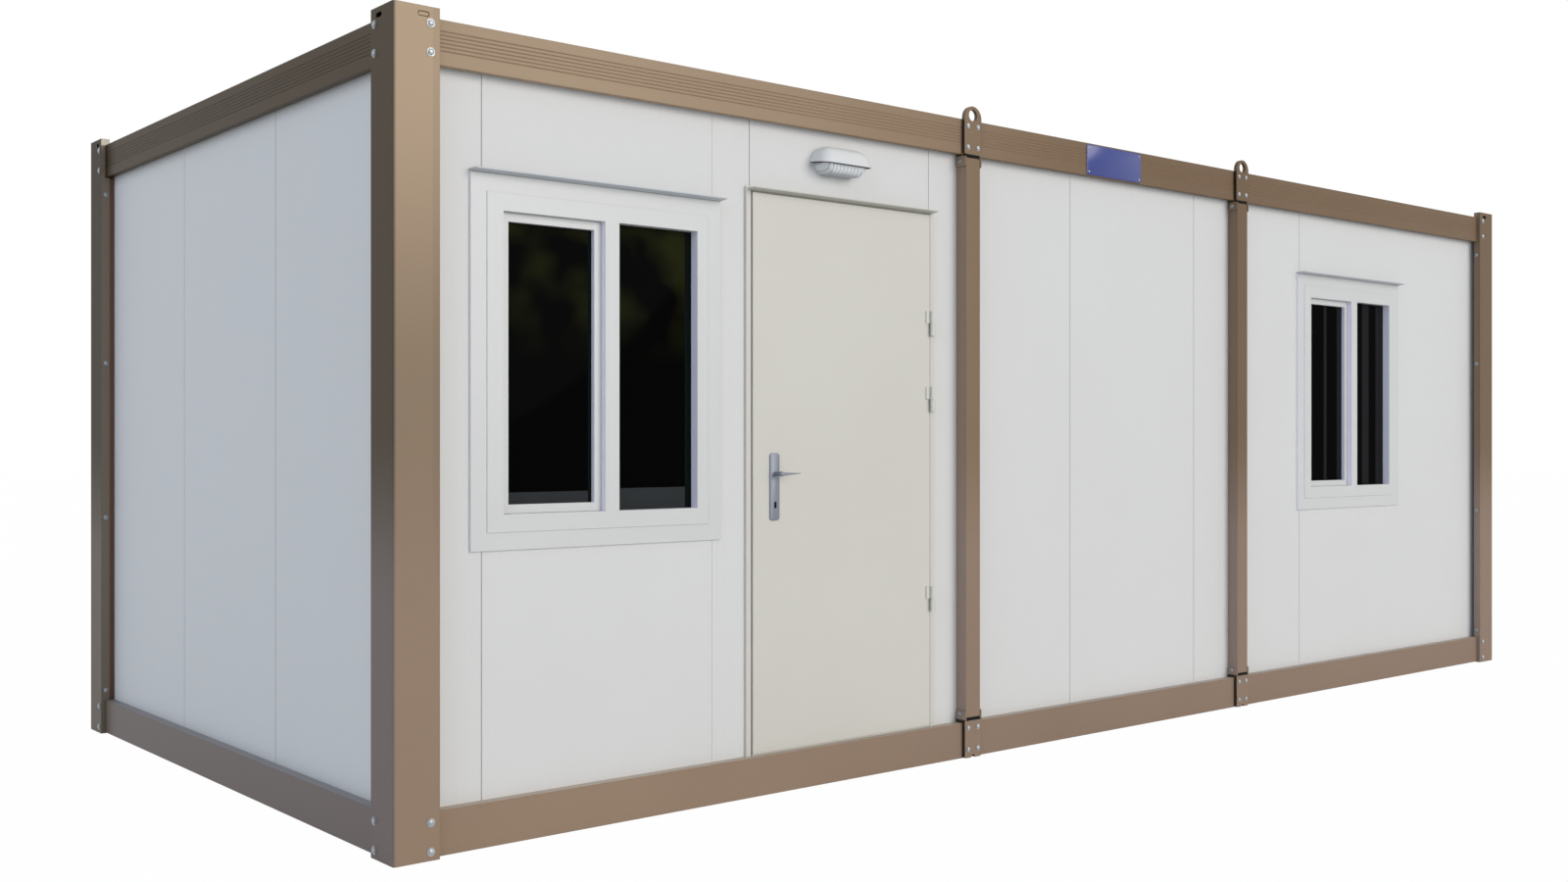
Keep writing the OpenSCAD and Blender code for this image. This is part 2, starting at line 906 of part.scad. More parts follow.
module hinge_knuckles() {
    color(plastic_white)
        at_hinges()
            translate([0, 0, knuckle_h + knuckle_gap])
                knuckle(-1, [hinge_out - tab_t, hinge_out]);
}

module handle_plate_outline() {
    difference() {
        translate([0, plate_h / 2 - plate_pivot])
            rounded_rect(plate_w, plate_h, plate_r);
        circle(spindle_r + lever_play);
        translate([0, -key_drop])
            rotate(90)
                obround(key_h, key_w);
    }
}

module handle_plates() {
    color(steel)
        on_side("front")
            translate([handle_x, 0, handle_z]) {
                facing(plate_d, door_recess)
                    handle_plate_outline();
                facing(door_back, plate_back_d)
                    handle_plate_outline();
            }
}

// A lever: a neck, a ball on its end, and an arm that tapers away from the ball
module lever() {
    rotate([90, 0, 0])
        cylinder(r = neck_r, h = lever_out - lever_r);
    translate([0, lever_r - lever_out, 0]) {
        sphere(lever_r);
        rotate([0, 90, 0])
            cylinder(r1 = lever_r, r2 = lever_tip_r, h = lever_l - lever_tip_r);
        translate([lever_l - lever_tip_r, 0, 0])
            sphere(lever_tip_r);
    }
}

module door_handle() {
    color(steel)
        on_side("front")
            translate([handle_x, 0, handle_z]) {
                translate([0, plate_d - lever_play, 0])
                    lever();
                translate([0, plate_back_d + lever_play, 0])
                    mirror([0, 1, 0])
                        lever();
                translate([0, plate_back_d + lever_play, 0])
                    rotate([90, 0, 0])
                        cylinder(r = spindle_r, h = plate_back_d - plate_d + 2 * lever_play);
            }
}

// Windows: a trimmed frame with a mullion, an inner sash on the left and a fixed pane on the right
module at_windows() {
    on_side("front")
        for (x = window_xs)
            translate([x, 0, window_mid_z])
                children();
}

module window_frames() {
    color(plastic_white)
        at_windows()
            difference() {
                union() {
                    facing(frame_d, wall_back)
                        rect(window_w - 2 * trim_w, window_h - 2 * trim_w);
                    facing(trim_d, wall_recess)
                        rect(window_w, window_h);
                    facing(trim_d, wall_back)
                        rect(window_w - 2 * trim_lap, window_h - 2 * trim_lap);
                }
                facing(frame_d - eps, wall_back + eps) {
                    translate([sash_mid, 0])
                        rect(sash_open_w, pane_h);
                    translate([fixed_mid, 0])
                        rect(fixed_w, pane_h);
                }
                facing(rebate_d, wall_back + eps)
                    translate([fixed_mid, 0])
                        rect(fixed_w + 2 * glass_lap, pane_h + 2 * glass_lap);
            }
}

module window_sashes() {
    color(plastic_white)
        at_windows()
            translate([sash_mid, 0, 0])
                difference() {
                    facing(sash_d, sash_d + sash_t)
                        rect(sash_open_w - 2 * sash_play, pane_h - 2 * sash_play);
                    facing(sash_d - eps, sash_d + sash_t)
                        rect(sash_glass_w, sash_glass_h);
                    facing(sash_rebate_d, sash_d + sash_t + eps)
                        rect(sash_glass_w + 2 * glass_lap, sash_glass_h + 2 * glass_lap);
                }
}

module window_glass() {
    grip = 2 * glass_lap - 2 * glass_play;
    color(glass_dark)
        at_windows() {
            translate([sash_mid, 0, 0])
                facing(sash_rebate_d, sash_rebate_d + glass_t)
                    rect(sash_glass_w + grip, sash_glass_h + grip);
            translate([fixed_mid, 0, 0])
                facing(rebate_d, rebate_d + glass_t)
                    rect(fixed_w + grip, pane_h + grip);
        }
}

// A drip cap: level on top, its underside rising to a thin front edge
module drip_cap(width, back) {
    nose = wall_recess - cap_reach;
    along_wall(width)
        polygon([[back, 0], [back, cap_h], [nose, cap_h], [nose, cap_h - cap_edge]]);
}

module drip_caps() {
    color(plastic_white)
        on_side("front") {
            for (x = window_xs)
                translate([x, 0, window_top])
                    drip_cap(window_w, wall_recess);
            translate([door_x, 0, door_top + door_gap])
                drip_cap(2 * jamb_in + jamb_face, jamb_d);
        }
}

// Lamp: a back plate, a hood like an eyelid and a tapered lens that hangs below the hood's rim
module at_lamp() {
    on_side("front")
        translate([door_x - lamp_off, 0, soffit_z - lamp_drop])
            children();
}

// The hood seen from outside, within a wall of the given thickness and down to the given height
module hood_outline(wall, rim) {
    intersection() {
        rounded_rect(lamp_w - 2 * wall, 2 * (lamp_rise - wall), hood_r - wall);
        translate([-lamp_w / 2, rim])
            square([lamp_w, lamp_rise - rim]);
    }
}

module hood_form(wall, rim) {
    front = wall_recess - lamp_reach + wall;
    top = lamp_rise - wall;
    r = hood_r - wall;
    intersection() {
        facing(front, wall_recess)
            hood_outline(wall, rim);
        along_wall(lamp_w) {
            translate([front, rim])
                square([wall_recess - front, top - r - rim]);
            translate([front + r, rim])
                square([wall_recess - front - r, top - rim]);
            translate([front + r, top - r])
                circle(r);
        }
    }
}

// The lens seen from outside: it tapers to a foot with rounded corners
module lens_outline() {
    top_w = lamp_w - 2 * lamp_wall - 2 * lens_gap;
    hull() {
        translate([-top_w / 2, 0])
            square([top_w, lens_lap]);
        for (s = [-1, 1])
            translate([s * (lens_foot_w / 2 - lens_r), lens_r - lens_drop])
                circle(lens_r);
    }
}

module lamp_body() {
    color(plastic_white)
        at_lamp() {
            difference() {
                hood_form(0, 0);
                hood_form(lamp_wall, -eps);
            }
            facing(wall_recess - lamp_back_t, wall_recess) {
                lens_outline();
                hood_outline(0, 0);
            }
        }
}

module lamp_lens() {
    front = wall_recess - lamp_reach + lamp_wall + lens_gap;
    color(glass_dark)
        at_lamp()
            facing(front, wall_recess - lamp_back_t)
                lens_outline();
}

corner_at(-1, -1);  // corner_post_front_left
corner_at(1, -1);  // corner_post_front_right
corner_at(-1, 1);  // corner_post_rear_left
corner_at(1, 1);  // corner_post_rear_right
top_rail("front");  // top_rail_front
top_rail("rear");  // top_rail_rear
top_rail("left");  // top_rail_left
top_rail("right");  // top_rail_right
base_rail("front");  // base_rail_front
base_rail("rear");  // base_rail_rear
base_rail("left");  // base_rail_left
base_rail("right");  // base_rail_right
mid_post("front", "left");  // mid_post_front_left
mid_post("front", "right");  // mid_post_front_right
mid_post("rear", "left");  // mid_post_rear_left
mid_post("rear", "right");  // mid_post_rear_right
lifting_plates();
base_tie_plates();
post_clips();
floor_joists();
floor_deck();
roof_purlins();
roof_sheet();
ceiling();
front_wall_left();
front_wall_over_door();
front_wall_middle();
front_wall_right();
left_wall();
right_wall();
rear_wall();
door_frame();
door_leaf();
hinge_pins();
hinge_knuckles();
handle_plates();
door_handle();
window_frames();
window_sashes();
window_glass();
drip_caps();
lamp_body();
lamp_lens();
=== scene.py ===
import json
import math

import bpy
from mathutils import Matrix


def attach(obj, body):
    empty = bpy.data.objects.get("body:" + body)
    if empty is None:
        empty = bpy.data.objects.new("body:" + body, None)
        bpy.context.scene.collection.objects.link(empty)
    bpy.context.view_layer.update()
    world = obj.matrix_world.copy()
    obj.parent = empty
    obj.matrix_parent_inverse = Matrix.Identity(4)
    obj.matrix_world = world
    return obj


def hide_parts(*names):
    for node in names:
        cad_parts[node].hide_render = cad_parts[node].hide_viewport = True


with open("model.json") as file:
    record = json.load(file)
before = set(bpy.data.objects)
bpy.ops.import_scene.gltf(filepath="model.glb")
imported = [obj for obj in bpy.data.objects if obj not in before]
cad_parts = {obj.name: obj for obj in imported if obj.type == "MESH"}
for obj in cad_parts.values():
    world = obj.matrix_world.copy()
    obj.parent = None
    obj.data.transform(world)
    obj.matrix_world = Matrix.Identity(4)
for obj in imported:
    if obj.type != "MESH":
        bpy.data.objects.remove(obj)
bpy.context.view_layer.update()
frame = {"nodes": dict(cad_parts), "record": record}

mm = 0.001
print("frame loaded:", len(frame["nodes"]), "nodes")


# Colours and nodes

def linearColour(hexText):
    parts = [int(hexText[i:i + 2], 16) / 255 for i in (1, 3, 5)]
    return [p / 12.92 if p <= 0.04045 else ((p + 0.055) / 1.055) ** 2.4 for p in parts] + [1.0]


def addNode(tree, kind, settings, inputs):
    node = tree.nodes.new(kind)
    for key, value in settings.items():
        setattr(node, key, value)
    for key, value in inputs.items():
        if isinstance(value, bpy.types.NodeSocket):
            tree.links.new(value, node.inputs[key])
        else:
            node.inputs[key].default_value = value
    return node


def newMaterial(name, settings):
    material = bpy.data.materials.new(name)
    material.use_nodes = True
    tree = material.node_tree
    shader = tree.nodes["Principled BSDF"]
    for key, value in settings.items():
        shader.inputs[key].default_value = value
    coords = addNode(tree, "ShaderNodeTexCoord", {}, {}).outputs["Object"]
    return material, tree, shader, coords


def wireShader(tree, shader, sockets):
    for key, socket in sockets.items():
        tree.links.new(socket, shader.inputs[key])


# A coated surface: two tones in slow clouds, a fine grain in the coat, and soft edges
def coatedMaterial(name, coat, peelMm=0.3):
    material, tree, shader, coords = newMaterial(name, {"Specular IOR Level": coat["specular"]})
    clouds = addNode(tree, "ShaderNodeTexNoise", {}, {
        "Vector": coords, "Scale": 1 / (coat["cloudMm"] * mm), "Detail": 3.0})
    grain = addNode(tree, "ShaderNodeTexNoise", {}, {
        "Vector": coords, "Scale": 1 / (coat["grainMm"] * mm), "Detail": 2.0})
    tone = addNode(tree, "ShaderNodeMix", {"data_type": "RGBA"}, {
        0: clouds.outputs[0], 6: linearColour(coat["tones"][0]), 7: linearColour(coat["tones"][1])})
    rough = addNode(tree, "ShaderNodeMapRange", {}, {
        0: clouds.outputs[0], 3: coat["rough"][0], 4: coat["rough"][1]})
    soft = addNode(tree, "ShaderNodeBevel", {"samples": 4}, {"Radius": coat["edgeMm"] * mm})
    bump = addNode(tree, "ShaderNodeBump", {}, {
        "Strength": coat["bump"], "Distance": peelMm * mm, "Height": grain.outputs[0],
        "Normal": soft.outputs[0]})
    wireShader(tree, shader, {
        "Base Color": tone.outputs[2], "Roughness": rough.outputs[0], "Normal": bump.outputs[0]})
    return material


# Polyester powder coat on cold-formed steel: satin brown with an orange peel that catches the light.
# The real peel is about 2 mm and is drawn at 7 mm so that it shows.
brownPowderCoat = coatedMaterial("brownPowderCoat", {
    "tones": ("#8e7963", "#99846d"), "rough": (0.40, 0.50), "cloudMm": 700, "grainMm": 7,
    "bump": 0.10, "edgeMm": 3.0, "specular": 0.1})


# Painted light and shade on the brown coat: a painted sheen up high, brightest at the left corner and darker
# to the right, painted bluish light lower down, and painted shade on the end faces.
# A ramp names what it reads, from where to where in millimetres, and the levels at both ends.
# Tints multiply the coat's colour. Shares and layers are worked out in order, from the names before them
coatLight = {
    "ramps": {
        # Among the ramps: the height ramp from the painted sheen up high to the lower tones, the corner
        # post's painted highlight and the painted shade band at its fold, and the grooves' painted shade and
        # light
        "lowShare": ("z", (1350, 750), (0, 1)), "far": ("x", (-3000, 200), (0, 1)),
        "corner": ("x", (-3344, -3340), (1, 0)), "cornerFade": ("z", (1430, 2500), (0.68, 1.19)),
        "cornerFold": ("x", (-3371, -3367), (1, 0.9)), "postFace": ("reach", (1485, 1493), (1, 0.9)),
        "grooveDeep": ("reach", (1481.7, 1480.2), (0, 1)), "grooveHigh": ("z", (2485, 2490), (0, 1)),
        "grooveShadeAndLight": ("x", (-3000, 200), (0.75, 1.45)), "plateTop": ("z", (2446, 2451), (0, 1)),
        "plateFoot": ("z", (162, 157), (0, 1)), "plateNear": ("off", (1100, 1200), (1, 0)),
        "plateEye": ("z", (2590, 2600), (1, 0.4)), "inside": ("reach", (1470, 1480), (1, 0)),
        "ending": ("off", (3400, 3440), (0, 1)), "behind": ("y", (1200, 1300), (0, 1)),
        "lipHigh": ("z", (2592, 2600), (0, 1)), "ledgeLow": ("z", (150, 170), (1, 0))},
    "tints": {
        # The tints, but for plain and ledge, are painted light and shade: sheen up high, bluish light below,
        # light on the posts' flanks and the lips, shade on the plates' flanks and on the end faces
        "plain": (1, 1, 1), "highNear": (1.34, 1.35, 1.38), "highFar": (0.64, 0.585, 0.535),
        "lowNear": (1.03, 1.01, 1.08), "lowFar": (0.91, 0.895, 0.99),
        "postFlank": (1.14, 1.22, 1.36), "plateFlank": (0.16, 0.15, 0.14),
        "endHigh": (0.265, 0.26, 0.24), "endLow": (0.65, 0.72, 0.97),
        "rearHigh": (0.41, 0.36, 0.22), "rearLow": (0.76, 0.75, 0.65),
        "lip": (0.79, 0.88, 1.02), "lipTop": (2.1, 2.55, 3.1), "ledge": (1.6, 1.9, 2.2)},
    "shares": {
        "inGroove": ("MULTIPLY", "grooveDeep", "grooveHigh"),
        "plateEnds": ("ADD", "plateTop", "plateFoot"), "plateBoth": ("MULTIPLY", "plateEnds", "plateNear"),
        "onPlate": ("MULTIPLY", "plateBoth", "plateEye"),
        "turned": ("MAXIMUM", "sideways", "inside"), "atEnd": ("MULTIPLY", "turned", "ending"),
        "onLedge": ("MULTIPLY", "upward", "ledgeLow")},
    "layers": {
        # The left corner post's painted highlight fades downwards, with a painted shade band at its fold, and
        # in the painted sheen up high the other posts are darker than the rails behind them
        "cornerTone": ("MULTIPLY", 1.0, "cornerFade", "cornerFold"),
        "post": ("MIX", "corner", "postFace", "cornerTone"),
        "highEven": ("MIX", "far", "highNear", "highFar"), "high": ("MULTIPLY", 1.0, "highEven", "post"),
        "low": ("MIX", "far", "lowNear", "lowFar"),
        # Painted shade in the rails' grooves towards the left, turning to painted light that lifts their
        # shading towards the right
        "grooveTone": ("MIX", "inGroove", "plain", "grooveShadeAndLight"),
        # Painted light on the intermediate posts' flanks, and painted shade, nearly black, on the plates'
        # flanks up to their eyes
        "flankTone": ("MIX", "onPlate", "postFlank", "plateFlank"),
        "flank": ("MIX", "sideways", "plain", "flankTone"),
        "longEven": ("MIX", "lowShare", "high", "low"), "longGrooved": ("MULTIPLY", 1.0, "longEven", "grooveTone"),
        "long": ("MULTIPLY", 1.0, "longGrooved", "flank"),
        # On the rear posts the end faces get darker painted shade still, most of all up high, and the lips
        # painted light, strongest above the rail
        "endFront": ("MIX", "lowShare", "endHigh", "endLow"), "lipTone": ("MIX", "lipHigh", "lip", "lipTop"),
        "rearEven": ("MIX", "lowShare", "rearHigh", "rearLow"),
        "rearFace": ("MULTIPLY", 1.0, "endFront", "rearEven"),
        "rear": ("MIX", "lengthways", "rearFace", "lipTone"), "end": ("MIX", "behind", "endFront", "rear"),
        "face": ("MIX", "atEnd", "long", "end"), "litCoat": ("MULTIPLY", 1.0, "coat", "face"),
        # The upward faces of the ledges under the panels are made pale grey-blue
        "ledgeTone": ("MIX", "onLedge", "plain", "ledge"),
        "finalCoat": ("MULTIPLY", 1.0, "litCoat", "ledgeTone")}}


def paintCoatLight(material):
    tree = material.node_tree
    base = tree.nodes["Principled BSDF"].inputs["Base Color"]
    coords = addNode(tree, "ShaderNodeTexCoord", {}, {})
    place = addNode(tree, "ShaderNodeSeparateXYZ", {}, {0: coords.outputs["Object"]}).outputs
    facing = addNode(tree, "ShaderNodeSeparateXYZ", {}, {0: coords.outputs["Normal"]}).outputs
    values = {"x": place[0], "y": place[1], "z": place[2], "coat": base.links[0].from_socket}
    sizes = {"off": place[0], "reach": place[1], "sideways": facing[0], "lengthways": facing[1]}
    for name, socket in sizes.items():
        values[name] = addNode(tree, "ShaderNodeMath", {"operation": "ABSOLUTE"}, {0: socket}).outputs[0]
    values["upward"] = addNode(tree, "ShaderNodeMath", {"operation": "MAXIMUM"}, {
        0: facing[2], 1: 0.0}).outputs[0]
    for name, (source, reach, levels) in coatLight["ramps"].items():
        values[name] = addNode(tree, "ShaderNodeMapRange", {"interpolation_type": "SMOOTHSTEP"}, {
            0: values[source], 1: reach[0] * mm, 2: reach[1] * mm, 3: levels[0], 4: levels[1]}).outputs[0]
    for name, tint in coatLight["tints"].items():
        values[name] = (*tint, 1)
    for name, (operation, a, b) in coatLight["shares"].items():
        values[name] = addNode(tree, "ShaderNodeMath", {"operation": operation}, {
            0: values[a], 1: values[b]}).outputs[0]
    for name, (blend, share, a, b) in coatLight["layers"].items():
        values[name] = addNode(tree, "ShaderNodeMix", {"data_type": "RGBA", "blend_type": blend}, {
            0: values.get(share, share), 6: values[a], 7: values[b]}).outputs[2]
    tree.links.new(values["finalCoat"], base)


paintCoatLight(brownPowderCoat)


# Multiplies a coat's colour by a tint: along a stretch of X (middle and half, in millimetres),
# or else on faces to the left
def tintCoat(material, tint, stretch=None):
    tree = material.node_tree
    base = tree.nodes["Principled BSDF"].inputs["Base Color"]
    coords = addNode(tree, "ShaderNodeTexCoord", {}, {})
    source = coords.outputs["Object" if stretch else "Normal"]
    along = addNode(tree, "ShaderNodeSeparateXYZ", {}, {0: source}).outputs[0]
    if stretch:
        share = addNode(tree, "ShaderNodeMath", {"operation": "COMPARE"}, {
            0: along, 1: stretch[0] * mm, 2: stretch[1] * mm})
    else:
        share = addNode(tree, "ShaderNodeMapRange", {}, {0: along, 1: 0.0, 2: -1.0})
    tinted = addNode(tree, "ShaderNodeMix", {"data_type": "RGBA", "blend_type": "MULTIPLY"}, {
        0: share.outputs[0], 6: base.links[0].from_socket, 7: (*tint, 1)})
    tree.links.new(tinted.outputs[2], base)


# Coil-coated steel skin of a sandwich panel: satin off-white, nearly even, with a faint rolled grain
offWhiteCoilCoat = coatedMaterial("offWhiteCoilCoat", {
    "tones": ("#d3d2d0", "#d7d6d5"), "rough": (0.46, 0.56), "cloudMm": 500, "grainMm": 9,
    "bump": 0.05, "edgeMm": 1.0, "specular": 0.4})

# Extruded PVC-U: smooth clean white with a soft gloss and rounded arrises
whiteWindowPvc = coatedMaterial("whiteWindowPvc", {
    "tones": ("#cbcbca", "#d0d0cf"), "rough": (0.28, 0.34), "cloudMm": 300, "grainMm": 5,
    "bump": 0.02, "edgeMm": 2.0, "specular": 0.45})
# Painted violet sky light on the flanks to the left
tintCoat(whiteWindowPvc, tint=(1.48, 1.42, 1.62))

# Folded coil-coated sheet: a cooler, greyer white than the panels, with a warm painted shade where it hangs
# over the door
whiteDripSheet = coatedMaterial("whiteDripSheet", {
    "tones": ("#bcbfc3", "#c3c6ca"), "rough": (0.40, 0.48), "cloudMm": 300, "grainMm": 6,
    "bump": 0.04, "edgeMm": 1.0, "specular": 0.45})
tintCoat(whiteDripSheet, tint=(1.0, 0.94, 0.8), stretch=(-1615, 600))

# Powder coat on a sheet steel door: warm cream, satin
creamPowderCoat = coatedMaterial("creamPowderCoat", {
    "tones": ("#c9c5bc", "#cfccc3"), "rough": (0.38, 0.46), "cloudMm": 450, "grainMm": 7,
    "bump": 0.05, "edgeMm": 1.5, "specular": 0.45})

# The same coat over turned hinge barrels: a little paler than the leaf, with a tighter gloss
creamHingeCoat = coatedMaterial("creamHingeCoat", {
    "tones": ("#cbc8c0", "#d3d0c9"), "rough": (0.32, 0.42), "cloudMm": 60, "grainMm": 4,
    "bump": 0.04, "edgeMm": 1.0, "specular": 0.5})

# Faced ceiling board: matt white with a fine paper grain
whiteCeilingBoard = coatedMaterial("whiteCeilingBoard", {
    "tones": ("#d4d4d2", "#dadad8"), "rough": (0.60, 0.72), "cloudMm": 600, "grainMm": 10,
    "bump": 0.10, "edgeMm": 1.0, "specular": 0.3})

# Moulded ABS lamp housing: bright white, smooth, softly glossy
whiteLampAbs = coatedMaterial("whiteLampAbs", {
    "tones": ("#d8d8d7", "#dddddc"), "rough": (0.28, 0.36), "cloudMm": 80, "grainMm": 4,
    "bump": 0.02, "edgeMm": 1.5, "specular": 0.4})

# Vulcanised EPDM: dull, with a fine grain
sealCoat = {"rough": (0.60, 0.72), "cloudMm": 40, "grainMm": 3, "bump": 0.08, "edgeMm": 0.5, "specular": 0.1}
# Near black, standing for painted shade: the key holes, the gaps at the posts' ends, the gap under the lamp's
# hood and the cups behind the lashing slots
blackPaintedShade = coatedMaterial("blackPaintedShade", {
    **sealCoat, "tones": ("#0b0c0d", "#131415"), "bump": 0.10})
# Door seal, and the strip over the leaf that stands for painted shade: a soft olive grey that shows in the
# gaps round the leaf
greySealAndShade = coatedMaterial("greySealAndShade", {
    **sealCoat, "tones": ("#a09e91", "#adab9d"), "specular": 0.3})
# Strips at the posts' lips: reddish brown, darker than the coat beside them
brownSealRubber = coatedMaterial("brownSealRubber", {
    **sealCoat, "tones": ("#684c3f", "#735647"), "cloudMm": 60})

# Enamelled blank plate: deep even blue with a wet gloss
blueEnamel = coatedMaterial("blueEnamel", {
    "tones": ("#26357f", "#2b3c8c"), "rough": (0.18, 0.24), "cloudMm": 120, "grainMm": 5,
    "bump": 0.03, "edgeMm": 1.0, "specular": 0.5})


# Satin stainless steel: drawn lines along the plate's height, bluish grey
def makeStainless(lineMm=1.6, lengthMm=60):
    material, tree, shader, coords = newMaterial("satinStainless", {
        "Metallic": 0.6, "Specular IOR Level": 0.3})
    stretch = addNode(tree, "ShaderNodeMapping", {}, {
        "Vector": coords, "Scale": (1 / (lineMm * mm), 1 / (lineMm * mm), 1 / (lengthMm * mm))})
    lines = addNode(tree, "ShaderNodeTexNoise", {}, {
        "Vector": stretch.outputs[0], "Scale": 1.0, "Detail": 3.0})
    tone = addNode(tree, "ShaderNodeMix", {"data_type": "RGBA"}, {
        0: lines.outputs[0], 6: linearColour("#777c86"), 7: linearColour("#9095a0")})
    rough = addNode(tree, "ShaderNodeMapRange", {}, {0: lines.outputs[0], 3: 0.46, 4: 0.60})
    bump = addNode(tree, "ShaderNodeBump", {}, {
        "Strength": 0.12, "Distance": 0.1 * mm, "Height": lines.outputs[0]})
    wireShader(tree, shader, {
        "Base Color": tone.outputs[2], "Roughness": rough.outputs[0], "Normal": bump.outputs[0]})
    return material


satinStainless = makeStainless()


# Zinc: crystals of several greys, each with its own sheen
def makeZinc(name, crystalMm, darkHex, paleHex, rough):
    material, tree, shader, coords = newMaterial(name, {"Metallic": 0.85})
    crystals = addNode(tree, "ShaderNodeTexVoronoi", {}, {
        "Vector": coords, "Scale": 1 / (crystalMm * mm), "Randomness": 1.0})
    split = addNode(tree, "ShaderNodeSeparateColor", {}, {0: crystals.outputs["Color"]})
    tone = addNode(tree, "ShaderNodeMix", {"data_type": "RGBA"}, {
        0: split.outputs[0], 6: linearColour(darkHex), 7: linearColour(paleHex)})
    shine = addNode(tree, "ShaderNodeMapRange", {}, {0: split.outputs[1], 3: rough[0], 4: rough[1]})
    wireShader(tree, shader, {"Base Color": tone.outputs[2], "Roughness": shine.outputs[0]})
    return material


# Hot-dip galvanised sheet: spangle about 14 mm across
galvanisedSheet = makeZinc("galvanisedSheet", 14, "#a9adb0", "#c3c7ca", (0.34, 0.50))
# Zinc plated bolts: bright bluish grey with a fine mottle
zincPlatedBolt = makeZinc("zincPlatedBolt", 3, "#8e9397", "#a8acaf", (0.38, 0.50))


# Dark tinted double glazing: nearly black and mirror smooth, with painted dim olive reflections high up
# in the left window
def makeGlazing(cloudMm=170, clearZ=1560, fullZ=1780, fullX=-2000, clearX=0):
    material, tree, shader, coords = newMaterial("tintedGlazing", {
        "Roughness": 0.03, "IOR": 1.45, "Specular IOR Level": 0.004})
    clouds = addNode(tree, "ShaderNodeTexNoise", {}, {
        "Vector": coords, "Scale": 1 / (cloudMm * mm), "Detail": 1.5})
    split = addNode(tree, "ShaderNodeSeparateXYZ", {}, {0: coords})
    height = addNode(tree, "ShaderNodeMapRange", {}, {0: split.outputs[2], 1: clearZ * mm, 2: fullZ * mm})
    lift = addNode(tree, "ShaderNodeMapRange", {}, {0: clouds.outputs[0], 1: 0.42, 2: 0.74})
    side = addNode(tree, "ShaderNodeMapRange", {}, {
        0: split.outputs[0], 1: fullX * mm, 2: clearX * mm, 3: 1.0, 4: 0.0})
    share = height
    for factor in (lift, side):
        share = addNode(tree, "ShaderNodeMath", {"operation": "MULTIPLY"}, {
            0: share.outputs[0], 1: factor.outputs[0]})
    tone = addNode(tree, "ShaderNodeMix", {"data_type": "RGBA"}, {
        0: share.outputs[0], 6: linearColour("#060606"), 7: linearColour("#22240f")})
    wireShader(tree, shader, {"Base Color": tone.outputs[2]})
    return material


tintedGlazing = makeGlazing()

# Painted view through the tint, on sheets laid on the panes: even and dull
dimCoat = {"rough": (0.55, 0.65), "cloudMm": 90, "grainMm": 8, "bump": 0.02, "edgeMm": 0.2, "specular": 0.02}
# Sills: dark grey
dimSill = coatedMaterial("dimSill", {**dimCoat, "tones": ("#2a2c2e", "#303335"), "specular": 0.05})
# Reveals: a bluish black, only just lighter than the panes
dimReveal = coatedMaterial("dimReveal", {**dimCoat, "tones": ("#0c1110", "#101514")})
# Upright stripes: a dark violet grey
dimStripe = coatedMaterial("dimStripe", {**dimCoat, "tones": ("#1b1b1d", "#212124")})


# Pressed clear lamp glass: watery grey, see-through where it is thin, with painted shade in every flute
# and along its foot
def makeClearGlass(cloudMm=25, fluteMm=18, lineShare=0.3, footZ=2292, clearZ=2300):
    material, tree, shader, coords = newMaterial("clearLampGlass", {
        "IOR": 1.45, "Transmission Weight": 0.2, "Roughness": 0.14})
    clouds = addNode(tree, "ShaderNodeTexNoise", {}, {
        "Vector": coords, "Scale": 1 / (cloudMm * mm), "Detail": 2.0})
    tone = addNode(tree, "ShaderNodeMix", {"data_type": "RGBA"}, {
        0: clouds.outputs[0], 6: linearColour("#e6e9ec"), 7: linearColour("#f4f5f6")})
    split = addNode(tree, "ShaderNodeSeparateXYZ", {}, {0: coords})
    along = addNode(tree, "ShaderNodeMath", {"operation": "PINGPONG"}, {
        0: split.outputs[0], 1: fluteMm * mm / 2})
    line = addNode(tree, "ShaderNodeMapRange", {}, {
        0: along.outputs[0], 1: fluteMm * mm / 2 * lineShare, 2: 0.0, 3: 0.0, 4: 0.8})
    lined = addNode(tree, "ShaderNodeMix", {"data_type": "RGBA"}, {
        0: line.outputs[0], 6: tone.outputs[2], 7: linearColour("#8c9298")})
    foot = addNode(tree, "ShaderNodeMapRange", {}, {
        0: split.outputs[2], 1: footZ * mm, 2: clearZ * mm, 3: 0.5, 4: 0.0})
    shaded = addNode(tree, "ShaderNodeMix", {"data_type": "RGBA"}, {
        0: foot.outputs[0], 6: lined.outputs[2], 7: linearColour("#5d646d")})
    wireShader(tree, shader, {"Base Color": shaded.outputs[2]})
    return material


clearLampGlass = makeClearGlass()


# Film-faced fibre board floor: brown chips pressed flat under a satin film
def makeFloorBoard(chipMm=9, cloudMm=400):
    material, tree, shader, coords = newMaterial("filmFacedBoard", {"Specular IOR Level": 0.45})
    chips = addNode(tree, "ShaderNodeTexVoronoi", {}, {"Vector": coords, "Scale": 1 / (chipMm * mm)})
    split = addNode(tree, "ShaderNodeSeparateColor", {}, {0: chips.outputs["Color"]})
    clouds = addNode(tree, "ShaderNodeTexNoise", {}, {
        "Vector": coords, "Scale": 1 / (cloudMm * mm), "Detail": 4.0})
    tone = addNode(tree, "ShaderNodeMix", {"data_type": "RGBA"}, {
        0: split.outputs[0], 6: linearColour("#7d6447"), 7: linearColour("#9c815f")})
    rough = addNode(tree, "ShaderNodeMapRange", {}, {0: clouds.outputs[0], 3: 0.38, 4: 0.58})
    wireShader(tree, shader, {"Base Color": tone.outputs[2], "Roughness": rough.outputs[0]})
    return material


filmFacedBoard = makeFloorBoard()

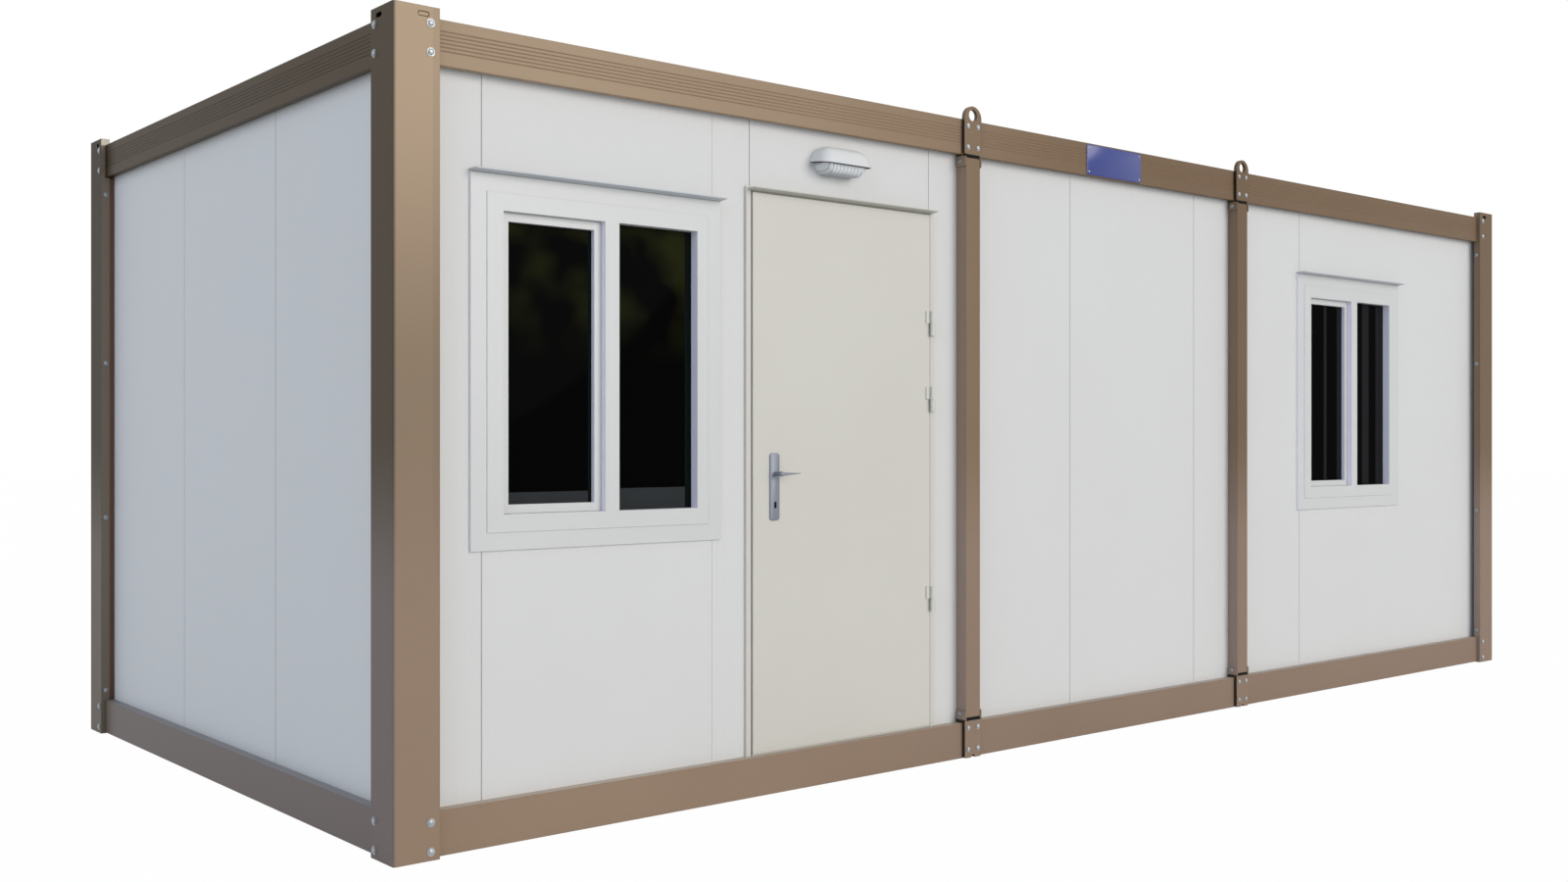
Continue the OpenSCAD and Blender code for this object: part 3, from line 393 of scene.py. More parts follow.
slotMaterials = {
    "frame_paint": brownPowderCoat, "panel_coating": offWhiteCoilCoat, "window_plastic": whiteWindowPvc,
    "drip_coating": whiteDripSheet, "door_paint": creamPowderCoat, "hinge_metal": creamHingeCoat,
    "handle_metal": satinStainless, "window_glass": tintedGlazing, "zinc_steel": galvanisedSheet,
    "floor_board": filmFacedBoard, "ceiling_board": whiteCeilingBoard, "lamp_plastic": whiteLampAbs,
    "lamp_glass": clearLampGlass}
for part in frame["record"]["subparts"]:
    frame["nodes"][part["node"]].material_slots[0].material = slotMaterials[part["material_slot"]]
print("materials set on the frame's nodes")


# Modelling helpers

# A face looks along an axis from this share of its normal, and points touch within this gap
squareOn = 0.9
touch = 0.01 * mm


def endEdit():
    bpy.ops.object.mode_set(mode="OBJECT")


def applyPlace():
    bpy.ops.object.transform_apply(location=True, rotation=True, scale=True)


def clearSelection():
    if bpy.context.mode != "OBJECT":
        endEdit()
    bpy.ops.object.select_all(action="DESELECT")


def pickOnly(piece):
    clearSelection()
    piece.select_set(True)
    bpy.context.view_layer.objects.active = piece


def startEdit(piece, kind):
    pickOnly(piece)
    bpy.ops.object.mode_set(mode="EDIT")
    bpy.ops.mesh.select_mode(type=kind)
    bpy.ops.mesh.select_all(action="DESELECT")
    endEdit()


def editFaces(piece, test):
    startEdit(piece, "FACE")
    for face in piece.data.polygons:
        face.select = test(face.center, face.normal)
    bpy.ops.object.mode_set(mode="EDIT")


def editEdges(piece, test):
    startEdit(piece, "EDGE")
    points = piece.data.vertices
    for edge in piece.data.edges:
        edge.select = test(points[edge.vertices[0]].co, points[edge.vertices[1]].co)
    bpy.ops.object.mode_set(mode="EDIT")


def editPoints(piece, test):
    startEdit(piece, "VERT")
    for point in piece.data.vertices:
        point.select = test(point.co)
    bpy.ops.object.mode_set(mode="EDIT")


def addBlock(low, high):
    clearSelection()
    bpy.ops.mesh.primitive_cube_add(size=1, location=[(a + b) / 2 for a, b in zip(low, high)],
                                    scale=[b - a for a, b in zip(low, high)])
    applyPlace()
    return bpy.context.active_object


def cutAt(piece, point, normal, drop=False):
    pickOnly(piece)
    bpy.ops.object.mode_set(mode="EDIT")
    bpy.ops.mesh.select_all(action="SELECT")
    bpy.ops.mesh.bisect(plane_co=point, plane_no=normal, clear_outer=drop, use_fill=False)
    endEdit()


def useModifier(piece, kind, settings):
    pickOnly(piece)
    modifier = piece.modifiers.new(kind.lower(), kind)
    for key, value in settings.items():
        setattr(modifier, key, value)
    bpy.ops.object.modifier_apply(modifier=modifier.name)


def softenEdges(piece, width, segments=2):
    useModifier(piece, "BEVEL", {"width": width, "segments": segments, "limit_method": "ANGLE"})


def roundAlongY(piece, radius, segments):
    editEdges(piece, lambda a, b: abs(a.y - b.y) > mm)
    bpy.ops.mesh.bevel(offset=radius, segments=segments)
    endEdit()


def extrudeBy(offset):
    bpy.ops.mesh.extrude_region_move(TRANSFORM_OT_translate={"value": offset})


def copyAt(piece, place, turn):
    twin = piece.copy()
    twin.data = piece.data.copy()
    bpy.context.collection.objects.link(twin)
    twin.location = place
    twin.rotation_euler = turn
    return twin


def joinAll(pieces, name):
    clearSelection()
    for piece in pieces:
        piece.select_set(True)
    bpy.context.view_layer.objects.active = pieces[0]
    if len(pieces) > 1:
        bpy.ops.object.join()
    joined = bpy.context.view_layer.objects.active
    applyPlace()
    joined.name = name
    joined.data.name = name
    return joined


def dropPiece(piece):
    clearSelection()
    bpy.data.objects.remove(piece)


# Puts copies of a piece in all places, each with its turn, and joins them
def spreadCopies(piece, places, name):
    group = joinAll([copyAt(piece, place, turn) for place, turn in places], name)
    dropPiece(piece)
    return group


def finishPiece(piece, material, body, smoothDeg=35):
    pickOnly(piece)
    piece.data.materials.clear()
    piece.data.materials.append(material)
    bpy.ops.object.shade_smooth_by_angle(angle=math.radians(smoothDeg))
    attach(piece, body)
    print("made", piece.name, len(piece.data.polygons), "faces")


quarter = math.pi / 2
faceTurn = {"front": (quarter, 0, 0), "rear": (-quarter, 0, 0),
            "left": (0, -quarter, 0), "right": (0, quarter, 0)}

cabin = {"halfL": 3500 * mm, "halfW": 1500 * mm, "wallIn": 57 * mm, "railIn": 18 * mm,
         "ledgeZ": 146 * mm, "wallTop": 2477 * mm}

# Bolts: a washer with a low head, modelled once for the corner posts and once smaller for plates and lips.
# The dome goes up in rings: each one's share of the height, and how far it draws in
boltDome = ((0.55, 1.0), (0.30, 0.78), (0.15, 0.45))
postBoltSize = {"washerR": 13.5 * mm, "washerH": 2 * mm, "headR": 9.5 * mm, "headH": 5 * mm,
                "sides": 24, "dome": boltDome}
plateBoltSize = {"washerR": 10.5 * mm, "washerH": 1.6 * mm, "headR": 7.5 * mm, "headH": 4 * mm,
                 "sides": 20, "dome": boltDome}


def makeBolt(bolt):
    clearSelection()
    bpy.ops.mesh.primitive_cylinder_add(vertices=bolt["sides"], radius=bolt["washerR"],
                                        depth=bolt["washerH"], location=(0, 0, bolt["washerH"] / 2))
    piece = bpy.context.active_object
    applyPlace()
    editFaces(piece, lambda c, n: n.z > squareOn)
    bpy.ops.mesh.inset(thickness=bolt["washerR"] - bolt["headR"])
    z = bolt["washerH"]
    for rise, shrink in bolt["dome"]:
        z += rise * bolt["headH"]
        extrudeBy((0, 0, rise * bolt["headH"]))
        bpy.ops.transform.resize(value=(shrink, shrink, 1), center_override=(0, 0, z))
    endEdit()
    return piece


def boltGroup(size, places, name):
    group = spreadCopies(makeBolt(size), [(place, faceTurn[side]) for place, side in places], name)
    finishPiece(group, zincPlatedBolt, "cabin", smoothDeg=40)


# Two bolts above and two below on each leg of the corner posts, and four down each lip
postBolt = {"longIn": 124 * mm, "shortIn": 130 * mm, "z": (2575, 2486, 118, 28),
            "lipIn": 155 * mm, "lipDepth": 20 * mm, "longLipZ": (2376, 1742, 886, 184),
            "shortLipZ": (2378, 1634, 953, 190)}


def postBoltPlaces():
    faces, lips = [], []
    for sx, endSide, endIn in ((-1, "left", "right"), (1, "right", "left")):
        for sy, longSide, longIn in ((-1, "front", "rear"), (1, "rear", "front")):
            x, y = sx * cabin["halfL"], sy * cabin["halfW"]
            for z in postBolt["z"]:
                faces.append(((x - sx * postBolt["longIn"], y, z * mm), longSide))
                faces.append(((x, y - sy * postBolt["shortIn"], z * mm), endSide))
            for z in postBolt["longLipZ"]:
                lips.append(((x - sx * postBolt["lipIn"], y - sy * postBolt["lipDepth"], z * mm), endIn))
            for z in postBolt["shortLipZ"]:
                lips.append(((x - sx * postBolt["lipDepth"], y - sy * postBolt["lipIn"], z * mm), longIn))
    return faces, lips


postFaces, postLips = postBoltPlaces()
boltGroup(postBoltSize, postFaces, "postBolts")
boltGroup(plateBoltSize, postLips, "lipBolts")

# Four bolts in each lifting plate and base tie plate, one in each cheek of the clips
plateBolt = {"midX": 950 * mm, "plateIn": 3 * mm, "liftX": 29 * mm, "liftZ": (2570, 2484),
             "tieX": 28 * mm, "tieZ": (126, 39),
             "clipX": 47.8 * mm, "clipIn": 31 * mm, "clipZ": (2429, 180)}


def plateBoltPlaces():
    lifts, ties, clips = [], [], []
    for mx in (-plateBolt["midX"], plateBolt["midX"]):
        for sy, side in ((-1, "front"), (1, "rear")):
            y = sy * (cabin["halfW"] - plateBolt["plateIn"])
            clipY = sy * (cabin["halfW"] - plateBolt["clipIn"])
            for s, cheek in ((-1, "left"), (1, "right")):
                lifts += [((mx + s * plateBolt["liftX"], y, z * mm), side) for z in plateBolt["liftZ"]]
                ties += [((mx + s * plateBolt["tieX"], y, z * mm), side) for z in plateBolt["tieZ"]]
                clips += [((mx + s * plateBolt["clipX"], clipY, z * mm), cheek) for z in plateBolt["clipZ"]]
    return lifts, ties, clips


liftPlaces, tiePlaces, clipPlaces = plateBoltPlaces()
boltGroup(plateBoltSize, liftPlaces, "liftingPlateBolts")
boltGroup(plateBoltSize, tiePlaces, "tiePlateBolts")
boltGroup(plateBoltSize, clipPlaces, "clipBolts")

# Ribbed steel skins on the panels: flats with a shallow rolled groove between them
skin = {"pitch": 37 * mm, "groove": 4 * mm, "slope": 6 * mm, "depth": 0.2 * mm, "proud": 0.8 * mm,
        "sheet": 0.6 * mm, "joint": 1.2 * mm, "tight": {-2246: 0.35 * mm}, "tuck": 6 * mm,
        "merge": 0.1 * mm}


def ribbedSheet(x0, x1, z0, z1, phase):
    # One rib is shaped and arrayed, then the run is trimmed to the panel
    start = phase + math.floor((x0 - phase) / skin["pitch"]) * skin["pitch"]
    count = math.ceil((x1 - start) / skin["pitch"]) + 1
    clearSelection()
    bpy.ops.mesh.primitive_plane_add(size=1, location=(start + skin["pitch"] / 2, 0, (z0 + z1) / 2),
                                     rotation=(quarter, 0, 0))
    sheet = bpy.context.active_object
    sheet.scale = (skin["pitch"], z1 - z0, 1)
    applyPlace()
    mid = start + skin["pitch"] / 2
    for offset in (-skin["groove"] / 2 - skin["slope"], -skin["groove"] / 2, skin["groove"] / 2,
                   skin["groove"] / 2 + skin["slope"]):
        cutAt(sheet, (mid + offset, 0, 0), (1, 0, 0))
    editFaces(sheet, lambda c, n: abs(c.x - mid) < skin["groove"] / 2)
    bpy.ops.transform.translate(value=(0, skin["depth"], 0))
    endEdit()
    useModifier(sheet, "ARRAY", {
        "count": count, "use_relative_offset": False, "use_constant_offset": True,
        "constant_offset_displace": (skin["pitch"], 0, 0), "use_merge_vertices": True,
        "merge_threshold": skin["merge"]})
    cutAt(sheet, (x0, 0, 0), (-1, 0, 0), drop=True)
    cutAt(sheet, (x1, 0, 0), (1, 0, 0), drop=True)
    useModifier(sheet, "SOLIDIFY", {"thickness": skin["sheet"], "offset": -1})
    return sheet


def wallSkin(side, joints, openings, name):
    sheets = []
    for a, b in zip(joints[:-1], joints[1:]):
        x0 = a * mm + (skin["tight"].get(a, skin["joint"]) if a != joints[0] else 0)
        x1 = b * mm - (skin["tight"].get(b, skin["joint"]) if b != joints[-1] else 0)
        rows = [(x0, x1, cabin["ledgeZ"], cabin["wallTop"])]
        for o0, o1, oz0, oz1 in openings:
            cut = []
            for r0, r1, z0, z1 in rows:
                if o1 <= r0 or o0 >= r1:
                    cut.append((r0, r1, z0, z1))
                    continue
                if o0 > r0:
                    cut.append((r0, o0, z0, z1))
                if o1 < r1:
                    cut.append((o1, r1, z0, z1))
                if oz0 > z0:
                    cut.append((max(r0, o0), min(r1, o1), z0, oz0))
                if oz1 < z1:
                    cut.append((max(r0, o0), min(r1, o1), oz1, z1))
            rows = cut
        sheets += [ribbedSheet(r0, r1, z0, z1, x0) for r0, r1, z0, z1 in rows]
    wall = joinAll(sheets, name)
    half = cabin["halfW"] if side in ("front", "rear") else cabin["halfL"]
    reach = half - cabin["wallIn"] + skin["proud"]
    turn = {"front": 0, "right": quarter, "rear": math.pi, "left": -quarter}[side]
    wall.rotation_euler = (0, 0, turn)
    wall.location = (math.sin(turn) * reach, -math.cos(turn) * reach, 0)
    pickOnly(wall)
    applyPlace()
    finishPiece(wall, offWhiteCoilCoat, "cabin", smoothDeg=10)


window = {"xs": (-2713 * mm, 2009 * mm), "w": 1000 * mm, "h": 1207 * mm, "top": 2146 * mm}
doorway = {"x": -1615 * mm, "half": 483 * mm, "top": 2209 * mm}
wallJoints = {
    "front": (-3443, -3170, -2246, -2076, -1154, -277, 628, 1533, 3443),
    "rear": (-3443, -3234, -2310, -1386, -462, 462, 1386, 2310, 3234, 3443),
    "end": (-1383, -462, 462, 1383)}
frontOpenings = [
    (x - window["w"] / 2 + skin["tuck"], x + window["w"] / 2 - skin["tuck"],
     window["top"] - window["h"] + skin["tuck"], window["top"] - skin["tuck"]) for x in window["xs"]]
frontOpenings.append((doorway["x"] - doorway["half"] + skin["tuck"],
                      doorway["x"] + doorway["half"] - skin["tuck"], 0.0, doorway["top"]))
wallSkin("front", wallJoints["front"], frontOpenings, "frontPanelSkins")
wallSkin("rear", wallJoints["rear"], [], "rearPanelSkins")
wallSkin("left", wallJoints["end"], [], "leftPanelSkins")
wallSkin("right", wallJoints["end"], [], "rightPanelSkins")

# Lamp: a hood like an eyelid over a fluted glass that tapers to its foot
lamp = {"x": -1655 * mm, "z": 2340 * mm, "wallY": -1443 * mm, "w": 260 * mm, "rise": 59 * mm,
        "reach": 86 * mm, "round": 40 * mm, "hoodWall": 3.5 * mm, "taper": 0.18, "slope": 0.1,
        "glassW": 238 * mm, "glassTop": 12 * mm, "glassDrop": 47 * mm, "glassReach": 74 * mm,
        "glassFoot": 0.75, "glassRound": 29 * mm, "glassWall": 3 * mm, "flute": 9 * mm, "fluteDeep": 3 * mm,
        "rimShadeH": 2.6 * mm, "rimShadeW": 244 * mm, "rimShadeReach": 80 * mm, "rimShadeRound": 28 * mm}


def makeHood():
    hood = addBlock((lamp["x"] - lamp["w"] / 2, lamp["wallY"] - lamp["reach"], lamp["z"] - lamp["rise"]),
                    (lamp["x"] + lamp["w"] / 2, lamp["wallY"] + lamp["round"], lamp["z"] + lamp["rise"]))
    for up in (1, -1):
        share = 1 - up * lamp["taper"]
        editFaces(hood, lambda c, n: n.z * up > squareOn)
        bpy.ops.transform.resize(value=(share, share, 1),
                                 center_override=(lamp["x"], lamp["wallY"], lamp["z"]))
        endEdit()
    useModifier(hood, "BEVEL", {"width": lamp["round"], "segments": 8, "limit_method": "NONE"})
    cutAt(hood, (0, lamp["wallY"], 0), (0, 1, 0), drop=True)
    cutAt(hood, (0, lamp["wallY"], lamp["z"]), (0, lamp["slope"], -1), drop=True)
    useModifier(hood, "SOLIDIFY", {"thickness": lamp["hoodWall"], "offset": -1, "use_even_offset": True})
    hood = joinAll([hood], "lampHood")
    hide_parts("lamp_body")
    finishPiece(hood, whiteLampAbs, "cabin")


def makeLampGlass():
    low, high = lamp["z"] - lamp["glassDrop"], lamp["z"] + lamp["glassTop"]
    glass = addBlock((lamp["x"] - lamp["glassW"] / 2, lamp["wallY"] - lamp["glassReach"], low),
                     (lamp["x"] + lamp["glassW"] / 2, lamp["wallY"] + lamp["glassRound"], high))
    editFaces(glass, lambda c, n: n.z < -squareOn)
    bpy.ops.transform.resize(value=(lamp["glassFoot"], 1, 1), center_override=(lamp["x"], 0, low))
    endEdit()
    editEdges(glass, lambda a, b: min(a.z, b.z) < high - mm)
    bpy.ops.mesh.bevel(offset=lamp["glassRound"], segments=6)
    endEdit()
    cutAt(glass, (0, lamp["wallY"], 0), (0, 1, 0), drop=True)
    # Flutes: upright cuts, every other one pressed in towards the wall
    count = int(lamp["glassW"] / lamp["flute"])
    lines = [lamp["x"] + (i - count / 2) * lamp["flute"] for i in range(1, count)]
    for x in lines:
        cutAt(glass, (x, 0, 0), (1, 0, 0))
    editPoints(glass, lambda p: any(abs(p.x - x) < touch for x in lines[::2]))
    bpy.ops.transform.translate(value=(0, lamp["fluteDeep"], 0))
    endEdit()
    cutAt(glass, (0, lamp["wallY"], 0), (0, 1, 0), drop=True)
    useModifier(glass, "SOLIDIFY", {"thickness": lamp["glassWall"], "offset": -1})
    glass = joinAll([glass], "lampGlass")
    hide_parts("lamp_lens")
    finishPiece(glass, clearLampGlass, "cabin", smoothDeg=60)


def makeRimShadeRing():
    # A black ring between the hood's rim and the glass, standing for the painted shade in the gap under the
    # rim
    half = lamp["rimShadeW"] / 2
    low = (lamp["x"] - half, lamp["wallY"] - lamp["rimShadeReach"], lamp["z"] - lamp["rimShadeH"])
    rimShade = addBlock(low, (lamp["x"] + half, lamp["wallY"], lamp["z"]))
    editEdges(rimShade, lambda a, b: abs(a.z - b.z) > mm and max(a.y, b.y) < lamp["wallY"] - mm)
    bpy.ops.mesh.bevel(offset=lamp["rimShadeRound"], segments=6)
    bpy.ops.mesh.select_all(action="SELECT")
    bpy.ops.transform.rotate(value=-math.atan(lamp["slope"]), orient_axis="X",
                             center_override=(lamp["x"], lamp["wallY"], lamp["z"]))
    endEdit()
    finishPiece(joinAll([rimShade], "lampRimShade"), blackPaintedShade, "cabin")


makeHood()
makeLampGlass()
makeRimShadeRing()

# Handle: rounded plates on both faces of the leaf, with tapered levers
handle = {"x": -1970 * mm, "z": 1170 * mm, "plateW": 45 * mm, "plateH": 247 * mm, "plateT": 7 * mm,
          "below": 171 * mm, "round": 12 * mm, "rim": 5 * mm, "rimDrop": 3 * mm,
          "faces": ((-1458 * mm, -1), (-1418 * mm, 1)),
          "keyDrop": 114 * mm, "keyW": 11.5 * mm, "keyH": 24 * mm, "keyRound": 3.5 * mm, "keyProud": 0.3 * mm,
          "play": 0.5 * mm, "neckR": 8 * mm, "neckL": 30 * mm,
          "ballR": 9.5 * mm, "ballRings": 7, "ballEnd": 0.96,
          "leverL": 94 * mm, "leverRise": 6.6 * mm, "leverDeep": 6 * mm, "leverSteps": 8,
          "tip": 0.18, "tipLift": 1.5 * mm, "tipRound": 0.5 * mm}


def handlePlate(y, outward):
    back, face = sorted((y, y + outward * handle["plateT"]))
    low = (handle["x"] - handle["plateW"] / 2, back, handle["z"] - handle["below"])
    high = (handle["x"] + handle["plateW"] / 2, face, low[2] + handle["plateH"])
    plate = addBlock(low, high)
    roundAlongY(plate, handle["round"], segments=6)
    editFaces(plate, lambda c, n: n.y * outward > squareOn)
    bpy.ops.mesh.inset(thickness=handle["rim"])
    endEdit()
    editPoints(plate, lambda p: (p.y - y) * outward > mm and onRim(p, low, high))
    bpy.ops.transform.translate(value=(0, -outward * handle["rimDrop"], 0))
    endEdit()
    return plate


def onRim(p, low, high):
    # True for the outer outline of a plate, also round its corners
    dx = max(low[0] + handle["round"] - p.x, p.x - high[0] + handle["round"], 0)
    dz = max(low[2] + handle["round"] - p.z, p.z - high[2] + handle["round"], 0)
    return math.hypot(dx, dz) > handle["round"] - handle["rim"] / 2


# A black block, just proud of the plate, stands for the painted shade in the key hole
def keySlot(y, outward):
    back, face = sorted((y, y + outward * (handle["plateT"] + handle["keyProud"])))
    mid = handle["z"] - handle["keyDrop"]
    low = (handle["x"] - handle["keyW"] / 2, back, mid - handle["keyH"] / 2)
    high = (handle["x"] + handle["keyW"] / 2, face, mid + handle["keyH"] / 2)
    slot = addBlock(low, high)
    roundAlongY(slot, handle["keyRound"], segments=5)
    return slot


def makeLever(y, outward):
    start = y + outward * (handle["plateT"] + handle["play"])
    end = start + outward * handle["neckL"]
    clearSelection()
    bpy.ops.mesh.primitive_cylinder_add(vertices=24, radius=handle["neckR"], depth=handle["neckL"],
                                        location=(handle["x"], (start + end) / 2, handle["z"]),
                                        rotation=(quarter, 0, 0))
    neck = bpy.context.active_object
    applyPlace()
    # The neck swells into a ball, ring by ring
    editFaces(neck, lambda c, n: n.y * outward > squareOn)
    rings = handle["ballRings"]
    first = -math.acos(handle["neckR"] / handle["ballR"])
    angles = [first + (quarter * handle["ballEnd"] - first) * i / rings for i in range(rings + 1)]
    for a, b in zip(angles[:-1], angles[1:]):
        rise = outward * handle["ballR"] * (math.sin(b) - math.sin(a))
        share = math.cos(b) / math.cos(a)
        extrudeBy((0, rise, 0))
        bpy.ops.transform.resize(value=(share, 1, share), center_override=(handle["x"], 0, handle["z"]))
    endEdit()
    mid = end - outward * handle["ballR"] * math.sin(first)
    clearSelection()
    bpy.ops.mesh.primitive_cylinder_add(vertices=20, radius=1, depth=handle["leverL"],
                                        location=(handle["x"] + handle["leverL"] / 2, mid, handle["z"]),
                                        rotation=(0, quarter, 0))
    arm = bpy.context.active_object
    arm.scale = (handle["leverRise"], handle["leverDeep"], 1)
    applyPlace()
    steps = handle["leverSteps"]
    for i in range(1, steps):
        cutAt(arm, (handle["x"] + handle["leverL"] * i / steps, 0, 0), (1, 0, 0))
    for i in range(1, steps + 1):
        x = handle["x"] + handle["leverL"] * i / steps
        share = 1 - (1 - handle["tip"]) * i / steps
        editPoints(arm, lambda p: abs(p.x - x) < touch)
        bpy.ops.transform.resize(value=(1, share, share), center_override=(x, mid, handle["z"]))
        bpy.ops.transform.translate(value=(0, 0, handle["tipLift"] * (i / steps) ** 2))
        endEdit()
    editEdges(arm, lambda a, b: min(a.x, b.x) > handle["x"] + handle["leverL"] - touch)
    bpy.ops.mesh.bevel(offset=handle["tipRound"], segments=3)
    endEdit()
    return [neck, arm]


plates = joinAll([handlePlate(y, s) for y, s in handle["faces"]], "handleBackPlates")
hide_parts("handle_plates")
finishPiece(plates, satinStainless, "door")
keySlots = joinAll([keySlot(y, s) for y, s in handle["faces"]], "keySlots")
finishPiece(keySlots, blackPaintedShade, "door")
levers = joinAll([p for y, s in handle["faces"] for p in makeLever(y, s)], "leverPair")
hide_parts("door_handle")
finishPiece(levers, satinStainless, "handle", smoothDeg=50)

# Thin sheets laid on the panes, painted with the dim view through them: sills and reveals in the left window,
# upright stripes in the right one.
# Each pane: left and right from the window's middle, foot and head, face of the glass, sill, reveal, stripes
lining = {"t": 0.5 * mm, "tuck": 3 * mm, "edge": 0.15 * mm,
          "panes": ({"x0": -352 * mm, "x1": -23 * mm, "z0": 1085 * mm, "z1": 2000 * mm, "y": -1414 * mm,
                     "sill": 38 * mm, "reveal": 14 * mm, "stripes": ((-197, -170), (-69, -20))},
                    {"x0": 64 * mm, "x1": 394 * mm, "z0": 1055 * mm, "z1": 2030 * mm, "y": -1417 * mm,
                     "sill": 74 * mm, "reveal": 28 * mm, "stripes": ((178, 246), (318, 397))})}


def makeLinings():
    sills, reveals, stripes = [], [], []
    left, right = window["xs"]
    for pane in lining["panes"]:
        front = pane["y"] - lining["t"]
        foot, head = pane["z0"] - lining["tuck"], pane["z1"] + lining["tuck"]
        split = left + pane["x1"] - pane["reveal"]
        sills.append(addBlock((left + pane["x0"] - lining["tuck"], front, foot),
                              (split, pane["y"], pane["z0"] + pane["sill"])))
        reveals.append(addBlock((split, front, foot),
                                (left + pane["x1"] + lining["tuck"], pane["y"], head)))
        for x0, x1 in pane["stripes"]:
            stripes.append(addBlock((right + x0 * mm, front, foot), (right + x1 * mm, pane["y"], head)))
    for pieces, name, material in ((sills, "paintedSillSheets", dimSill), (reveals, "paintedRevealSheets", dimReveal),
                                   (stripes, "paintedStripeSheets", dimStripe)):
        joined = joinAll(pieces, name)
        softenEdges(joined, lining["edge"], segments=1)
        finishPiece(joined, material, "cabin")


makeLinings()

# Blank plate riveted to the long top rail
railPlate = {"x0": -211 * mm, "x1": 170 * mm, "z0": 2459 * mm, "z1": 2591 * mm, "t": 3 * mm,
             "round": 8 * mm, "edge": 1.2 * mm, "crown": 0.6 * mm,
             "rivetIn": 14 * mm, "rivetR": 5 * mm, "rivetFlat": 0.5, "rivetProud": 0.3 * mm}


def makeRailPlate():
    y = -cabin["halfW"] + cabin["railIn"]
    plate = addBlock((railPlate["x0"], y - railPlate["t"], railPlate["z0"]),
                     (railPlate["x1"], y, railPlate["z1"]))
    roundAlongY(plate, railPlate["round"], segments=5)
    editFaces(plate, lambda c, n: n.y < -squareOn)
    bpy.ops.mesh.inset(thickness=railPlate["edge"])
    bpy.ops.transform.translate(value=(0, -railPlate["crown"], 0))
    endEdit()
    finishPiece(joinAll([plate], "railPlate"), blueEnamel, "cabin")
    clearSelection()
    bpy.ops.mesh.primitive_uv_sphere_add(segments=16, ring_count=8, radius=railPlate["rivetR"])
    rivet = bpy.context.active_object
    rivet.scale = (1, 1, railPlate["rivetFlat"])
    applyPlace()
    cutAt(rivet, (0, 0, 0), (0, 0, -1), drop=True)
    face = y - railPlate["t"] - railPlate["rivetProud"]
    xs = (railPlate["x0"] + railPlate["rivetIn"], railPlate["x1"] - railPlate["rivetIn"])
    zs = (railPlate["z0"] + railPlate["rivetIn"], railPlate["z1"] - railPlate["rivetIn"])
    places = [((x, face, z), faceTurn["front"]) for x in xs for z in zs]
    rivets = spreadCopies(rivet, places, "railPlateRivets")
    finishPiece(rivets, zincPlatedBolt, "cabin")


makeRailPlate()

# Black blocks in the gaps between the intermediate posts and the plates at their ends, standing for the
# painted shade in those gaps
gapFill = {"x": 950 * mm, "halfW": 41 * mm, "in": 6 * mm, "deep": 34 * mm, "edge": 1.5 * mm,
       "z": ((153, 169), (2440, 2456))}


def makeGapFills():
    gapFills = []
    for x in (-gapFill["x"], gapFill["x"]):
        for s in (-1, 1):
            near = cabin["halfW"] - gapFill["in"]
            y0, y1 = sorted((s * near, s * (near - gapFill["deep"])))
            for z0, z1 in gapFill["z"]:
                gapFills.append(addBlock((x - gapFill["halfW"], y0, z0 * mm), (x + gapFill["halfW"], y1, z1 * mm)))
    joined = joinAll(gapFills, "postGapShades")
    softenEdges(joined, gapFill["edge"])
    finishPiece(joined, blackPaintedShade, "cabin")


makeGapFills()

# Black cups behind the lashing slots of the corner posts, standing for the painted shade inside the posts,
# plugged on the long sides of the left posts
pocket = {"fromCorner": 100 * mm, "z": 2600 * mm, "w": 50 * mm, "h": 24 * mm, "longDeep": 5 * mm,
          "endDeep": 14 * mm, "postT": 4 * mm, "wall": 2 * mm,
          "plugW": 35.5 * mm, "plugH": 11.5 * mm, "plugIn": 1 * mm, "plugRound": 0.49}


def makePocket(deep):
    # Open towards the slot, modelled facing -Y at the origin
    piece = addBlock((-pocket["w"] / 2, 0, -pocket["h"] / 2), (pocket["w"] / 2, deep, pocket["h"] / 2))
    editFaces(piece, lambda c, n: n.y < -squareOn)
    bpy.ops.mesh.inset(thickness=pocket["wall"])
    extrudeBy((0, deep - pocket["wall"], 0))
    endEdit()
    return piece


def makePlug():
    # Rounded at both ends, from just inside the post's face to the floor of the cup
    deep = pocket["postT"] + pocket["longDeep"] - pocket["wall"]
    piece = addBlock((-pocket["plugW"] / 2, pocket["plugIn"], -pocket["plugH"] / 2),
                     (pocket["plugW"] / 2, deep, pocket["plugH"] / 2))
    roundAlongY(piece, pocket["plugH"] * pocket["plugRound"], segments=6)
    return piece


def makePockets():
    longPocket = makePocket(pocket["longDeep"])
    endPocket = makePocket(pocket["endDeep"])
    plug = makePlug()
    cups, plugs = [], []
    for sx, endTurn in ((-1, -quarter), (1, quarter)):
        for sy, longTurn in ((-1, 0), (1, math.pi)):
            x, y = sx * cabin["halfL"], sy * cabin["halfW"]
            longX, endY = x - sx * pocket["fromCorner"], y - sy * pocket["fromCorner"]
            longPlace = (longX, y - sy * pocket["postT"], pocket["z"])
            endPlace = (x - sx * pocket["postT"], endY, pocket["z"])
            cups.append(copyAt(longPocket, longPlace, (0, 0, longTurn)))
            cups.append(copyAt(endPocket, endPlace, (0, 0, endTurn)))
            if sx < 0:
                plugs.append(copyAt(plug, (longX, y, pocket["z"]), (0, 0, longTurn)))
    finishPiece(joinAll(cups, "slotShadeCups"), blackPaintedShade, "cabin")
    finishPiece(joinAll(plugs, "slotPlugs"), brownPowderCoat, "cabin")
    for piece in (longPocket, endPocket, plug):
        dropPiece(piece)


makePockets()

